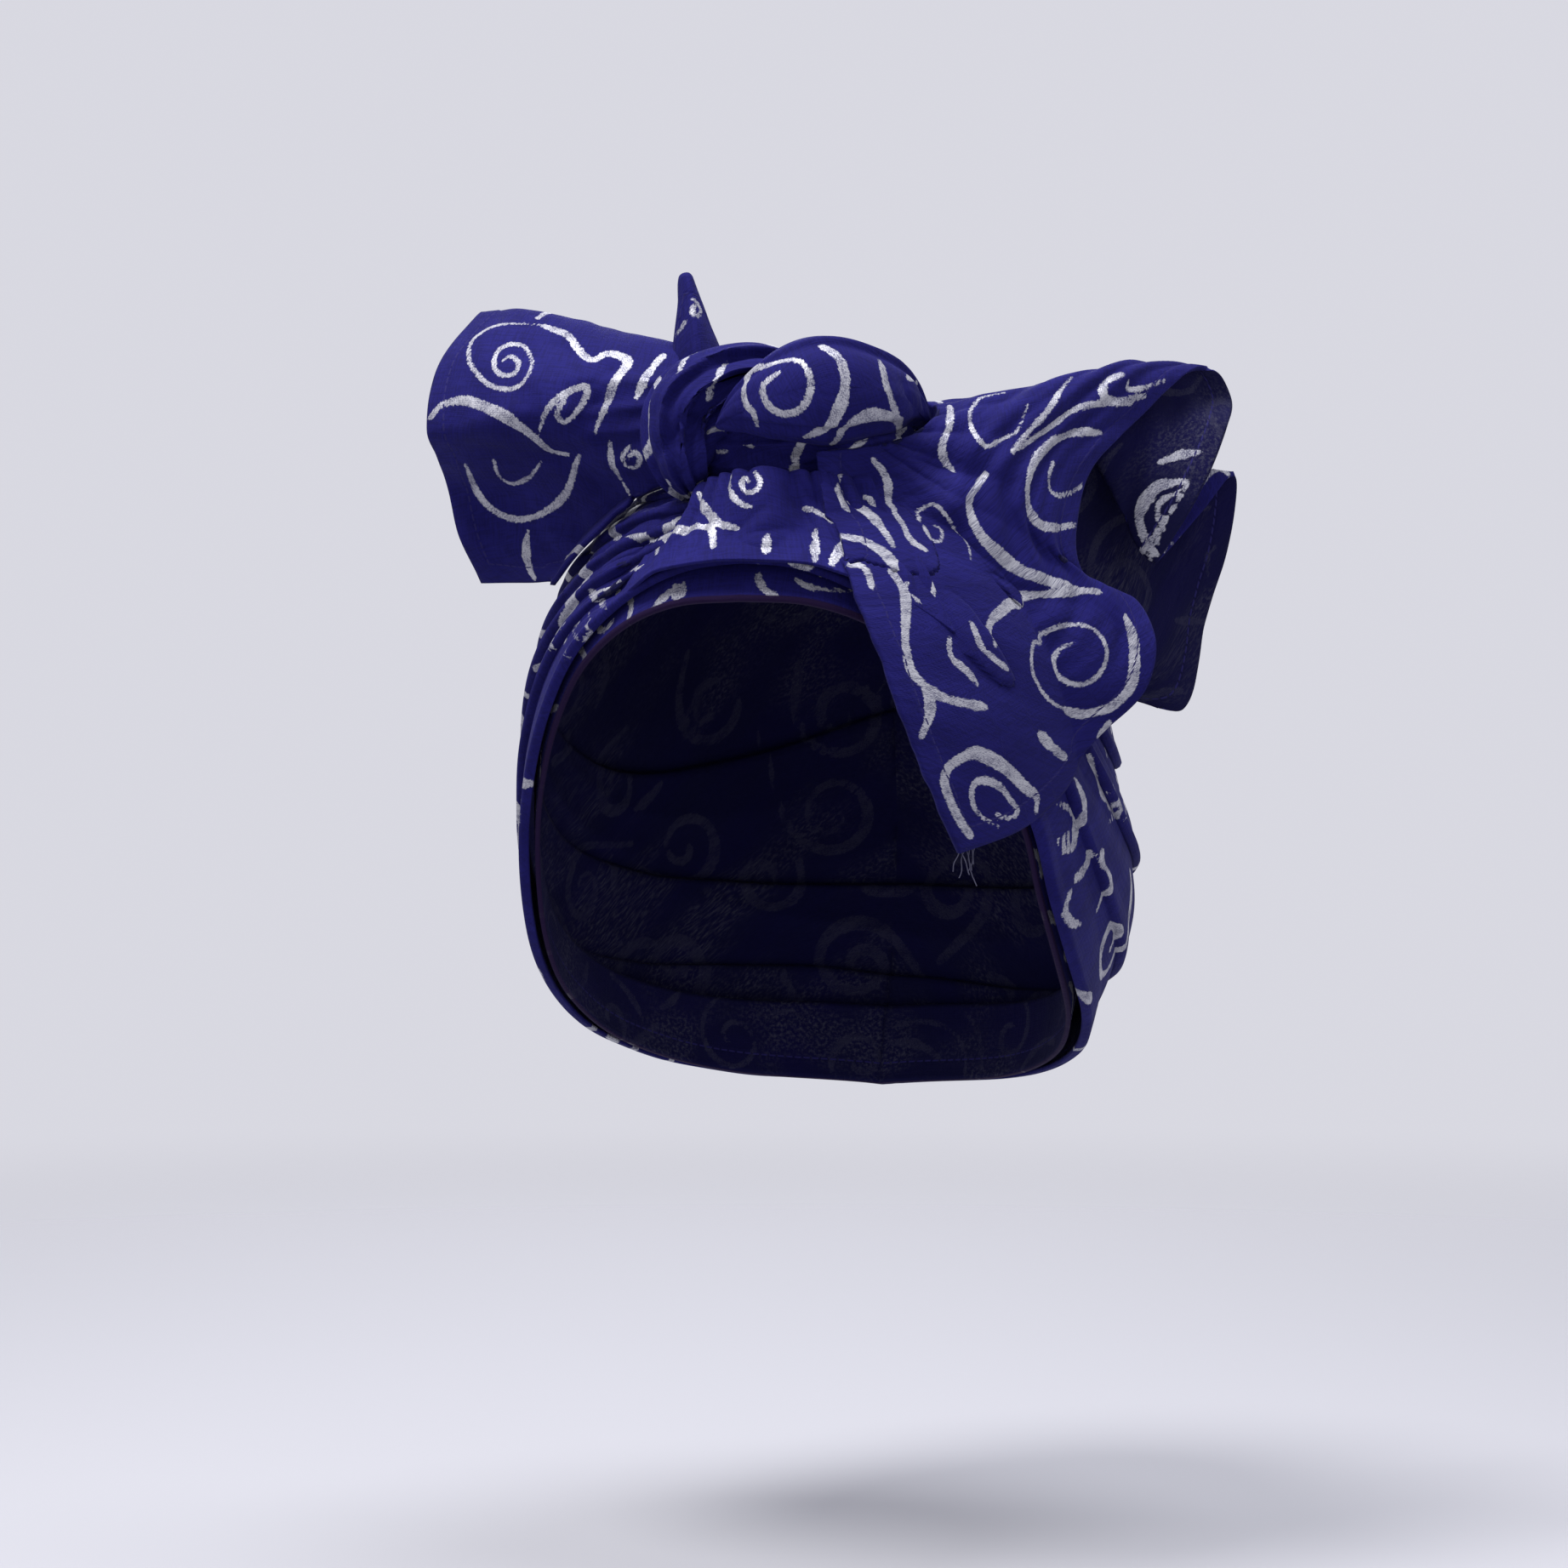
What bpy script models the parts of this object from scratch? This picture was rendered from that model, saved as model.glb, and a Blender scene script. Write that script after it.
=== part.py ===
"""A cotton head wrap tied in a top knot with two bow ends, as separate named pieces.

The wearer faces -Y, +X is the wearer's left and +Z is up. The origin is the crown of the
head, where the wrap sits. The bow, knot and peak are laid out in a bow frame, which is
turned about Z towards the side that the knot shows best: its X runs across the bow, its -Y
comes forward out of the knot, and its Z is up.
"""
import math
from collections import namedtuple

import bmesh
import bpy
from mathutils import Matrix, Vector

MM = 0.001

# Head that the wrap fits
HEAD_HALF_WIDTH = 73 * MM
HEAD_HALF_LENGTH = 93 * MM
HEAD_CENTRE = Vector((0, 5, -95)) * MM
CROWN_HEIGHT = 95 * MM
NAPE_DEPTH = 140 * MM
CROWN_FULLNESS = 2.4
JAW_FULLNESS = 2.0

# Face opening, from the middle of the brow round to the nape: where its edge runs, and the
# way by which the cloth comes to that part of the edge from the knot's seat
RimPoint = namedtuple("RimPoint", "azimuth height way_azimuth way_height")
RIM = [
    RimPoint(0, -42, 0, -25), RimPoint(15, -43, 15, -25), RimPoint(28, -48, 31, -26),
    RimPoint(40, -58, 50, -28), RimPoint(48, -71, 66, -34), RimPoint(54, -83, 78, -42),
    RimPoint(62, -100, 90, -52), RimPoint(68, -118, 100, -62), RimPoint(78, -135, 110, -72),
    RimPoint(90, -147, 120, -78), RimPoint(110, -160, 134, -78), RimPoint(140, -170, 154, -72),
    RimPoint(180, -174, 180, -66),
]
KNOT_SEAT_HEIGHT = -13
MEAN_HEAD_RADIUS = 85
STEEPEST_STAND = 0.3

# Brow band: the smooth turn of cloth next to the skin
BAND_WALL = 1.5 * MM
BAND_LIFT = 1.1
BAND_WIDTH = 20
BAND_ROWS = 2

# Wrap: turns of cloth that lie over each other like shingles, each edge facing the rim
WRAP_WALL = 1.6 * MM
WRAP_LIFT = 3.2
BROW_REVEAL = 9
SIDE_REVEAL = 2
REVEAL_FADE = 62
Turn = namedtuple("Turn", "edge stand wander waves phase")
TURNS = [
    Turn(1.00, 2.2, 0.000, 0, 0.0),
    Turn(0.85, 2.4, 0.018, 3, 0.4),
    Turn(0.69, 2.6, 0.022, 2, 1.7),
    Turn(0.52, 2.4, 0.024, 3, 2.9),
    Turn(0.35, 2.2, 0.020, 2, 4.1),
    Turn(0.18, 1.6, 0.012, 3, 5.0),
]
TURN_STEPS = (0.04, 0.5, 1.0)
ROUND_STEPS = 60

# Fullness where the cloth is gathered behind the ears
Fullness = namedtuple("Fullness", "azimuth share height across along")
FULLNESSES = [
    Fullness(108, 0.74, 10, 34, 0.20),
    Fullness(-112, 0.74, 4, 34, 0.22),
    Fullness(180, 0.60, 4, 50, 0.20),
]

# Bow frame
BOW_TURN = math.radians(14)
CLEARANCE = 0.6
CLOTH_WALL = 1.5 * MM
KNOT_LIFT = 7.0
DART_START = 0.42
RIGHT_LIFT = 9.8
LEFT_LIFT = 7.9
KNOT_STAND_OFF = 1.22
GATHERS = 5
GATHER_SPREAD = 0.15

# Knot: two visible turns round a heart, as rolls through a few stations
Station = namedtuple("Station", "across forward up radius flat")
LEFT_TURN = [
    Station(-31, 47, -15, 8, 1.0),
    Station(-34, 55, -5, 12, 1.0),
    Station(-32, 58, 8, 12.5, 1.0),
    Station(-21, 57, 16, 11.5, 1.0),
    Station(-7, 52, 17, 10, 1.0),
    Station(4, 42, 13, 6, 1.0),
]
RIGHT_TURN = [
    Station(-25, 67, 3, 6, 0.9),
    Station(-15, 69, 8, 11.5, 0.85),
    Station(-1, 68, 12, 14.5, 0.9),
    Station(12, 63, 12, 13.5, 0.9),
    Station(20, 55, 9, 9, 0.9),
    Station(24, 46, 4, 4, 0.9),
]
ROLL_STEPS = 20
ROLL_SIDES = 16
ROLL_BEADS = 16
HEART_CENTRE = (-3, 44, 0)
HEART_RADII = (31, 24, 18)
HEART_RINGS = 10

# Bow ends and peak: one row for each fold line, from its root in the knot to the hem
Fold = namedtuple("Fold", "hem_across hem_forward hem_up puff_across puff_forward puff_up")
Root = namedtuple("Root", "share across forward up")
RIGHT_END = [
    Fold(100, -10, -67, 5, 2, 4),
    Fold(107, -13, -44, 3, 0, 3),
    Fold(113, -9, -23, 1, -1, 1),
    Fold(114, 1, -4, 0, -3, 0),
    Fold(104, 8, -15, -2, -1, -2),
    Fold(92, 13, -28, -3, 0, -2),
    Fold(102, 17, -12, -1, 1, 0),
    Fold(111, 9, 8, 0, -1, 2),
    Fold(113, 1, 16, 0, -3, 3),
    Fold(108, 5, 24, 0, 1, 3),
    Fold(98, 15, 21, 0, 6, 2),
    Fold(87, 24, 10, 0, 7, 0),
    Fold(73, 35, -4, 0, 8, -2),
    Fold(68, 42, -21, 2, 7, -1),
    Fold(69, 43, -31, 2, 5, -1),
    Fold(75, 40, -37, 2, 2, -2),
    Fold(84, 37, -40, 2, 2, -3),
    Fold(89, 39, -51, 2, 4, -6),
    Fold(86, 40, -63, 2, 6, -7),
    Fold(76, 42, -73, 3, 6, -6),
    Fold(67, 46, -83, 2, 2, -3),
    Fold(61, 50, -90, 1, 0, 0),
    Fold(51, 60, -98, -2, 6, 2),
    Fold(36, 74, -104, -4, 9, 2),
]
# How the hem would run without its narrow fold, for the rows of that fold
RIGHT_DART = {4: (112, 5, -1), 5: (111, 7, 2), 6: (111, 8, 5)}
RIGHT_ROOTS = [
    Root(0.00, 36, 22, 1), Root(0.18, 37, 30, 4), Root(0.38, 35, 42, 10),
    Root(0.52, 31, 54, 3), Root(0.66, 22, 66, -3), Root(0.84, 10, 72, -6),
    Root(1.00, 2, 74, -7),
]
RIGHT_SIZE = (50, 9)
LEFT_END = [
    Fold(-84, -16, -12, 0, -4, -2),
    Fold(-93, -14, 8, 0, -6, 0),
    Fold(-95, -6, 28, 0, -4, 3),
    Fold(-89, 4, 39, 0, 2, 4),
    Fold(-95, 13, 31, 0, 7, 2),
    Fold(-100, 19, 20, 0, 9, 0),
    Fold(-102, 24, 6, 0, 9, -1),
    Fold(-100, 17, 0, 0, 2, -2),
    Fold(-98, 6, -7, 0, -6, -3),
    Fold(-95, 3, -20, -2, -10, -6),
    Fold(-89, 0, -33, -3, -14, -6),
]
LEFT_ROOTS = [
    Root(0.00, -42, 16, 4), Root(0.35, -45, 33, 19), Root(0.55, -41, 50, 12),
    Root(0.75, -43, 51, 1), Root(0.88, -53, 34, -9), Root(1.00, -58, 12, -18),
]
LEFT_SIZE = (30, 9)
PEAK = [
    Fold(-36, 37, 42, -3, -1, -4),
    Fold(-35.5, 38.5, 44.5, -3, 1, -4),
    Fold(-34, 40, 45.5, -1, 4, -3),
    Fold(-32.5, 39, 44.5, 2, 0, -2),
    Fold(-32, 37, 42, 2, -3, -2),
]
PEAK_ROOTS = [
    Root(0.00, -37, 34, 7), Root(0.25, -38, 41, 11), Root(0.50, -30, 46, 14),
    Root(0.75, -22, 42, 15), Root(1.00, -17, 34, 14),
]
PEAK_SIZE = (12, 7)

# Gather: pleats that run from under the knot to the left temple, beneath the bow end
GATHER = [
    Fold(-24, 74, -33, 0, 1, 0),
    Fold(-12, 77, -34, 0, 4, 0),
    Fold(-2, 77, -35, 0, 1, 0),
    Fold(8, 77, -38, 0, 2, 0),
    Fold(18, 76, -42, 0, 0, 0),
    Fold(32, 73, -50, 0, 0, 0),
]
GATHER_ROOTS = [
    Root(0.00, -20, 66, -8), Root(0.40, -10, 69, -8), Root(0.75, 2, 69, -9),
    Root(1.00, 14, 66, -10),
]
GATHER_WALL = 1.0 * MM
GATHER_LIFT = 7.7
GATHER_SIZE = (20, 7)

COTTON_COLOUR = (0.035, 0.030, 0.200, 1)
BAND_COLOUR = (0.045, 0.030, 0.200, 1)
COTTON_ROUGHNESS = 0.75


def smooth_value(rows, x):
    """A value read at x from rows of (x, number or Vector), along a cubic through them."""
    last = len(rows) - 1
    x = min(max(x, rows[0][0]), rows[last][0])
    i = 0
    while i < last - 1 and x > rows[i + 1][0]:
        i += 1
    x0, y0 = rows[i]
    x1, y1 = rows[i + 1]
    slope = (y1 - y0) / (x1 - x0)
    before = slope if i == 0 else (y1 - rows[i - 1][1]) / (x1 - rows[i - 1][0])
    after = slope if i + 1 == last else (rows[i + 2][1] - y0) / (rows[i + 2][0] - x0)
    t = (x - x0) / (x1 - x0)
    span = x1 - x0
    return (
        y0 * (2 * t**3 - 3 * t**2 + 1)
        + before * (span * (t**3 - 2 * t**2 + t))
        + y1 * (3 * t**2 - 2 * t**3)
        + after * (span * (t**3 - t**2))
    )


def head_point(direction, lift):
    """The point lift millimetres outside the head, seen from the head's centre."""
    across = math.hypot(direction.x / HEAD_HALF_WIDTH, direction.y / HEAD_HALF_LENGTH)
    if direction.z >= 0:
        height, power = CROWN_HEIGHT, CROWN_FULLNESS
    else:
        height, power = -NAPE_DEPTH, JAW_FULLNESS
    rise = direction.z / height
    reach = (across**power + rise**power) ** (-1 / power)
    spread = across ** (power - 2)
    normal = Vector((
        spread * direction.x / HEAD_HALF_WIDTH**2,
        spread * direction.y / HEAD_HALF_LENGTH**2,
        rise ** (power - 1) / height,
    ))
    return HEAD_CENTRE + direction * reach + normal.normalized() * (lift * MM)


def direction_at(azimuth, height):
    """The direction from the head's centre to its skin at an azimuth from the brow and a height."""
    z = height * MM - HEAD_CENTRE.z
    if z >= 0:
        level = (1 - (z / CROWN_HEIGHT) ** CROWN_FULLNESS) ** (1 / CROWN_FULLNESS)
    else:
        level = (1 - (-z / NAPE_DEPTH) ** JAW_FULLNESS) ** (1 / JAW_FULLNESS)
    x = HEAD_HALF_WIDTH * level * math.sin(azimuth)
    y = -HEAD_HALF_LENGTH * level * math.cos(azimuth)
    return Vector((x, y, z)).normalized()


KNOT_SEAT = direction_at(0, KNOT_SEAT_HEIGHT)


def rim_rows():
    """The rim's table against the share of its length, from the brow to the nape."""
    points = [head_point(direction_at(math.radians(p.azimuth), p.height), 0) for p in RIM]
    run = [0.0]
    for before, after in zip(points, points[1:]):
        run.append(run[-1] + (after - before).length)
    return [(length / run[-1], Vector(p)) for length, p in zip(run, RIM)]


RIM_ROWS = rim_rows()


def wrap_way(turned):
    """The edge and the way to it, as directions, at a share of the rim from the brow (-1 to 1)."""
    azimuth, height, way_azimuth, way_height = smooth_value(RIM_ROWS, abs(turned))
    side = math.copysign(1, turned)
    edge = direction_at(math.radians(azimuth) * side, height)
    return edge, direction_at(math.radians(way_azimuth) * side, way_height), azimuth * side


def wrap_direction(turned, share, reveal=0.0):
    """A direction on the way from the knot's seat (share 0) to the rim (share 1)."""
    edge, way, _ = wrap_way(turned)
    part = share * (1 - reveal / (2 * (edge - way).length * MEAN_HEAD_RADIUS))
    bent = KNOT_SEAT * (1 - part) ** 2 + way * (2 * part * (1 - part)) + edge * part**2
    return bent.normalized()


def wrap_reveal(azimuth):
    """How far the wrap's edge stays back from the rim, so that the brow band shows."""
    fade = min(abs(azimuth) / REVEAL_FADE, 1)
    ease = fade * fade * (3 - 2 * fade)
    return BROW_REVEAL + (SIDE_REVEAL - BROW_REVEAL) * ease


def turn_edge(turn, turned):
    """Where the edge of a turn lies on the way to the rim, at a share of the rim."""
    return turn.edge + turn.wander * math.sin(turn.waves * math.pi * turned + turn.phase)


def fullness(azimuth, share):
    """How far the gathered cloth stands off behind the ears, in millimetres."""
    total = 0.0
    for full in FULLNESSES:
        away = (azimuth - full.azimuth + 180) % 360 - 180
        total += full.height * math.exp(
            -((away / full.across) ** 2) - ((share - full.share) / full.along) ** 2
        )
    return total


def wrap_point(turned, row):
    """The middle of the wrap's wall in one of the rows that follow its turns."""
    index, step = divmod(row, len(TURN_STEPS))
    turn = TURNS[-1 - index]
    outer = turn_edge(turn, turned)
    inner = turn_edge(TURNS[-index], turned) if index else 0.0
    t = TURN_STEPS[step]
    share = inner + (outer - inner) * t
    edge, way, azimuth = wrap_way(turned)
    pitch = (outer - inner) * 2 * (edge - way).length * MEAN_HEAD_RADIUS
    stand = min(turn.stand, STEEPEST_STAND * pitch)
    lift = WRAP_LIFT + stand * t + fullness(azimuth, share)
    return head_point(wrap_direction(turned, share, wrap_reveal(azimuth)), lift)


def object_from(bm, name):
    """A new object of the scene from a bmesh, which is freed."""
    mesh = bpy.data.meshes.new(name)
    bm.to_mesh(mesh)
    bm.free()
    made = bpy.data.objects.new(name, mesh)
    bpy.context.scene.collection.objects.link(made)
    return made


def grid_object(name, across, along, place, close_across=False):
    """An object made from a flat grid whose corners are placed by place(u, v), u and v from 0 to 1."""
    bm = bmesh.new()
    bmesh.ops.create_grid(bm, x_segments=across, y_segments=along, size=0.5)
    for vertex in bm.verts:
        u, v = vertex.co.x + 0.5, vertex.co.y + 0.5
        vertex.co = place(u, v)
    if close_across:
        bmesh.ops.remove_doubles(bm, verts=bm.verts, dist=0.01 * MM)
    bmesh.ops.recalc_face_normals(bm, faces=bm.faces)
    return object_from(bm, name)


def give_wall(made, thickness):
    """Gives a sheet its thickness, half to each side."""
    wall = made.modifiers.new("wall", "SOLIDIFY")
    wall.thickness = thickness
    wall.offset = 0
    return made


def finish(made, colour, parent):
    """Gives a piece its own material, smooth shading and its place in the model."""
    material = bpy.data.materials.new(made.name)
    material.use_nodes = True
    shader = material.node_tree.nodes["Principled BSDF"]
    shader.inputs["Base Color"].default_value = colour
    shader.inputs["Roughness"].default_value = COTTON_ROUGHNESS
    shader.inputs["Metallic"].default_value = 0.0
    made.data.materials.append(material)
    made.data.shade_smooth()
    made.parent = parent


def cutter(made):
    """Marks an object that only shapes others."""
    made.hide_render = True
    made.display_type = "WIRE"
    return made


def cut(made, *tools):
    """Takes each tool's space out of a piece."""
    for tool in tools:
        boolean = made.modifiers.new("clear_of_" + tool.name, "BOOLEAN")
        boolean.operation = "DIFFERENCE"
        boolean.solver = "EXACT"
        boolean.object = tool


def wrap_row_count():
    """How many rows of corners the wrap has between the knot's seat and the rim."""
    return len(TURNS) * len(TURN_STEPS)


def make_wrap(name):
    """The wrap as one sheet closed round the head, its rows on the turns of the cloth."""
    rows = wrap_row_count()

    def place(u, v):
        row = round(v * rows) - 1
        if row < 0:
            return head_point(KNOT_SEAT, WRAP_LIFT)
        return wrap_point(2 * u - 1, row)

    return grid_object(name, ROUND_STEPS, rows, place, close_across=True)


def make_head_space(name):
    """A closed solid of the wrapped head, a little larger, which keeps the knot off it."""
    bm = bmesh.new()
    bmesh.ops.create_uvsphere(bm, u_segments=48, v_segments=32, radius=1)
    for vertex in bm.verts:
        vertex.co = head_point(vertex.co.normalized(), KNOT_LIFT)
    return cutter(object_from(bm, name))


def make_brow_band(name):
    """The smooth band round the head at the rim, inside the wrap."""

    def place(u, v):
        return head_point(wrap_direction(2 * u - 1, 1.0, BAND_WIDTH * v), BAND_LIFT)

    return grid_object(name, ROUND_STEPS, BAND_ROWS, place, close_across=True)


def bow_vector(across, forward, up):
    """A point of the bow frame, in metres, from millimetres."""
    return Vector((across, -forward, up)) * MM


def roll_girth(along):
    """How full a roll is at a share of its length, from nothing at its ends to 1 halfway."""
    return math.sqrt(math.sin(math.pi * along))


def roll_beads(stations):
    """Centres and radii, in the bow frame, of the beads that fill a roll of the knot."""
    count = len(stations) - 1
    centres = [(i / count, bow_vector(*s[:3])) for i, s in enumerate(stations)]
    radii = [(i / count, s.radius * MM) for i, s in enumerate(stations)]
    shares = [(i + 0.5) / ROLL_BEADS for i in range(ROLL_BEADS)]
    return [
        (smooth_value(centres, share), smooth_value(radii, share) * roll_girth(share))
        for share in shares
    ]


def kept_clear(point, lift, stand_off):
    """Moves a point of the bow frame clear of the head and the knot, if it is too near them."""
    turn = Matrix.Rotation(BOW_TURN, 3, "Z")
    heart = bow_vector(*HEART_CENTRE)
    radii = Vector(HEART_RADII) + Vector((stand_off, stand_off, stand_off))
    for _ in range(3):
        away = point - heart
        depth = Vector(away[i] / (radii[i] * MM) for i in range(3)).length
        if depth < 1:
            point = heart + away / depth
        for centre, radius in LEFT_BEADS + RIGHT_BEADS:
            away = point - centre
            if away.length < radius + stand_off * MM:
                point = centre + away.normalized() * (radius + stand_off * MM)
        out = turn @ point - HEAD_CENTRE
        limit = head_point(out.normalized(), lift)
        if out.length < (limit - HEAD_CENTRE).length:
            point = turn.transposed() @ limit
    return point


LEFT_BEADS = roll_beads(LEFT_TURN)
RIGHT_BEADS = roll_beads(RIGHT_TURN)


def fold_rows(folds):
    """Hem points and puffs of a sheet's folds, against the share of the hem's length."""
    hems = [bow_vector(*fold[:3]) for fold in folds]
    puffs = [bow_vector(*fold[3:]) for fold in folds]
    run = [0.0]
    for before, after in zip(hems, hems[1:]):
        run.append(run[-1] + (after - before).length)
    shares = [length / run[-1] for length in run]
    return list(zip(shares, hems)), list(zip(shares, puffs))


def gathered_value(rows, share, spread):
    """The mean of a table's values around a share, so that narrow folds fade towards the root."""
    total = Vector((0, 0, 0))
    for i in range(GATHERS):
        total += smooth_value(rows, share + spread * (2 * i / (GATHERS - 1) - 1))
    return total / GATHERS


def make_sheet(name, folds, roots, size, lift, gather=GATHER_SPREAD, dart=None):
    """A sheet of cloth from its gathered root at the knot to its folded hem."""
    hem_rows, puff_rows = fold_rows(folds)
    calm_rows = [
        (share, bow_vector(*dart[i]) if dart and i in dart else hem)
        for i, (share, hem) in enumerate(hem_rows)
    ]
    root_rows = [(root.share, bow_vector(*root[1:])) for root in roots]

    def place(u, v):
        root = smooth_value(root_rows, u)
        spread = gather * (1 - v) ** 1.3
        fold = max(0, (v - DART_START) / (1 - DART_START))
        fold = fold * fold * (3 - 2 * fold)
        hem = gathered_value(calm_rows, u, spread).lerp(gathered_value(hem_rows, u, spread), fold)
        belly = gathered_value(puff_rows, u, gather * (1 - v)) * (4 * v * (1 - v))
        return kept_clear(root.lerp(hem, v) + belly, lift, KNOT_STAND_OFF)

    return grid_object(name, size[0], size[1], place)


def make_roll(name, stations, grow=0.0):
    """A closed roll of cloth through its stations, round in section and narrowed to its ends."""
    count = len(stations) - 1
    centres = [(i / count, bow_vector(*s[:3])) for i, s in enumerate(stations)]
    radii = [(i / count, s.radius) for i, s in enumerate(stations)]
    flats = [(i / count, s.flat) for i, s in enumerate(stations)]
    bm = bmesh.new()
    bmesh.ops.create_uvsphere(bm, u_segments=ROLL_SIDES, v_segments=ROLL_STEPS, radius=1)
    step = 0.01
    for vertex in bm.verts:
        along = min(max(1 - math.acos(max(-1, min(1, vertex.co.z))) / math.pi, 0), 1)
        angle = math.atan2(vertex.co.y, vertex.co.x)
        ahead = smooth_value(centres, min(along + step, 1)) - smooth_value(centres, max(along - step, 0))
        ahead.normalize()
        out = Vector((0, -1, 0)) - ahead * ahead.dot(Vector((0, -1, 0)))
        out.normalize()
        side = ahead.cross(out)
        radius = (smooth_value(radii, along) + grow) * MM * roll_girth(along)
        flat = smooth_value(flats, along)
        vertex.co = (
            smooth_value(centres, along)
            + ahead * (vertex.co.z * grow * MM)
            + out * (math.cos(angle) * radius * flat)
            + side * (math.sin(angle) * radius)
        )
    if bm.calc_volume(signed=True) < 0:
        bmesh.ops.reverse_faces(bm, faces=bm.faces)
    return object_from(bm, name)


def make_heart(name, grow=0.0):
    """The bundle of cloth in the middle of the knot."""
    bm = bmesh.new()
    bmesh.ops.create_uvsphere(bm, u_segments=ROLL_SIDES, v_segments=HEART_RINGS, radius=1)
    across, forward, up = HEART_RADII
    for vertex in bm.verts:
        vertex.co = bow_vector(*HEART_CENTRE) + Vector((
            vertex.co.x * (across + grow),
            vertex.co.y * (forward + grow),
            vertex.co.z * (up + grow),
        )) * MM
    return object_from(bm, name)


def main():
    """Builds every piece of the head wrap."""
    for old in list(bpy.data.objects):
        bpy.data.objects.remove(old)
    head_frame = bpy.data.objects.new("head_frame", None)
    bow_frame = bpy.data.objects.new("bow_frame", None)
    bow_frame.rotation_euler.z = BOW_TURN
    for frame in (head_frame, bow_frame):
        bpy.context.scene.collection.objects.link(frame)

    band = give_wall(make_brow_band("brow_band"), BAND_WALL)
    wrap = give_wall(make_wrap("head_wrap"), WRAP_WALL)
    head_space = make_head_space("head_space")

    left_space = cutter(make_roll("left_turn_space", LEFT_TURN, CLEARANCE))
    right_space = cutter(make_roll("right_turn_space", RIGHT_TURN, CLEARANCE))
    heart_space = cutter(make_heart("heart_space", CLEARANCE))
    left_turn = make_roll("knot_left_turn", LEFT_TURN)
    right_turn = make_roll("knot_right_turn", RIGHT_TURN)
    heart = make_heart("knot_heart")
    right_end = make_sheet("right_bow_end", RIGHT_END, RIGHT_ROOTS, RIGHT_SIZE, RIGHT_LIFT,
                           dart=RIGHT_DART)
    left_end = make_sheet("left_bow_end", LEFT_END, LEFT_ROOTS, LEFT_SIZE, LEFT_LIFT)
    peak = make_sheet("peak", PEAK, PEAK_ROOTS, PEAK_SIZE, LEFT_LIFT, 0.0)
    gather = make_sheet("front_gather", GATHER, GATHER_ROOTS, GATHER_SIZE, GATHER_LIFT, 0.0)
    for sheet in (right_end, left_end, peak):
        give_wall(sheet, CLOTH_WALL)
    give_wall(gather, GATHER_WALL)

    cut(left_turn, head_space)
    cut(right_turn, head_space, left_space)
    cut(heart, head_space, left_space, right_space)
    for space in (left_space, right_space, heart_space):
        space.parent = bow_frame

    finish(band, BAND_COLOUR, head_frame)
    finish(wrap, COTTON_COLOUR, head_frame)
    for piece in (left_turn, right_turn, heart, right_end, left_end, peak, gather):
        finish(piece, COTTON_COLOUR, bow_frame)


main()
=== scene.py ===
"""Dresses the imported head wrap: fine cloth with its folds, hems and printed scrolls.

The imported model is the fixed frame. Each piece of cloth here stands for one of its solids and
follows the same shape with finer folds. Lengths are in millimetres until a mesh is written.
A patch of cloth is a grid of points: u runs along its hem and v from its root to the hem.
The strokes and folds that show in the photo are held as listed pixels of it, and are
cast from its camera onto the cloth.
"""
import logging
import math
import random
from dataclasses import dataclass, field, replace
from enum import Enum

import bmesh
import bpy
import numpy as np
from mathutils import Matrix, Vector
from mathutils.bvhtree import BVHTree


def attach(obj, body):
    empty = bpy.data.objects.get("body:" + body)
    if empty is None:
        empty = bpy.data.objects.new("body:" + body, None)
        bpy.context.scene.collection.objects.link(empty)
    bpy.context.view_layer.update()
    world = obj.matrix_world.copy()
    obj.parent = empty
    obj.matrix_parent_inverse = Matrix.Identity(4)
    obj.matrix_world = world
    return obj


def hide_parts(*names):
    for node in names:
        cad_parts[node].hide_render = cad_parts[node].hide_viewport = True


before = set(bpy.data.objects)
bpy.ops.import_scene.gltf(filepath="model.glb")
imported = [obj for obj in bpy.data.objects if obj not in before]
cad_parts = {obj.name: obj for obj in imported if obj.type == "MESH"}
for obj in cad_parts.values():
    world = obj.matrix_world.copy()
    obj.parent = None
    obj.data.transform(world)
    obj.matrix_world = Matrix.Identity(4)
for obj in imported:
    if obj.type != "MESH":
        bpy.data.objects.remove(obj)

LOG = logging.getLogger("head_wrap")
MM = 0.001
BOW_TURN = math.radians(14)
UV_MM = 100.0

Array = np.ndarray
Triple = tuple[float, float, float]
Colour = tuple[float, float, float]
Point = tuple[float, float]


class Side(Enum):
    """The two faces of the printed cotton."""

    PRINTED = "printed"
    WRONG = "wrong"


# Small mathematics


def unit(vectors: Array) -> Array:
    """Vectors brought to length 1."""
    return vectors / np.maximum(np.linalg.norm(vectors, axis=-1, keepdims=True), 1e-9)


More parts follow.
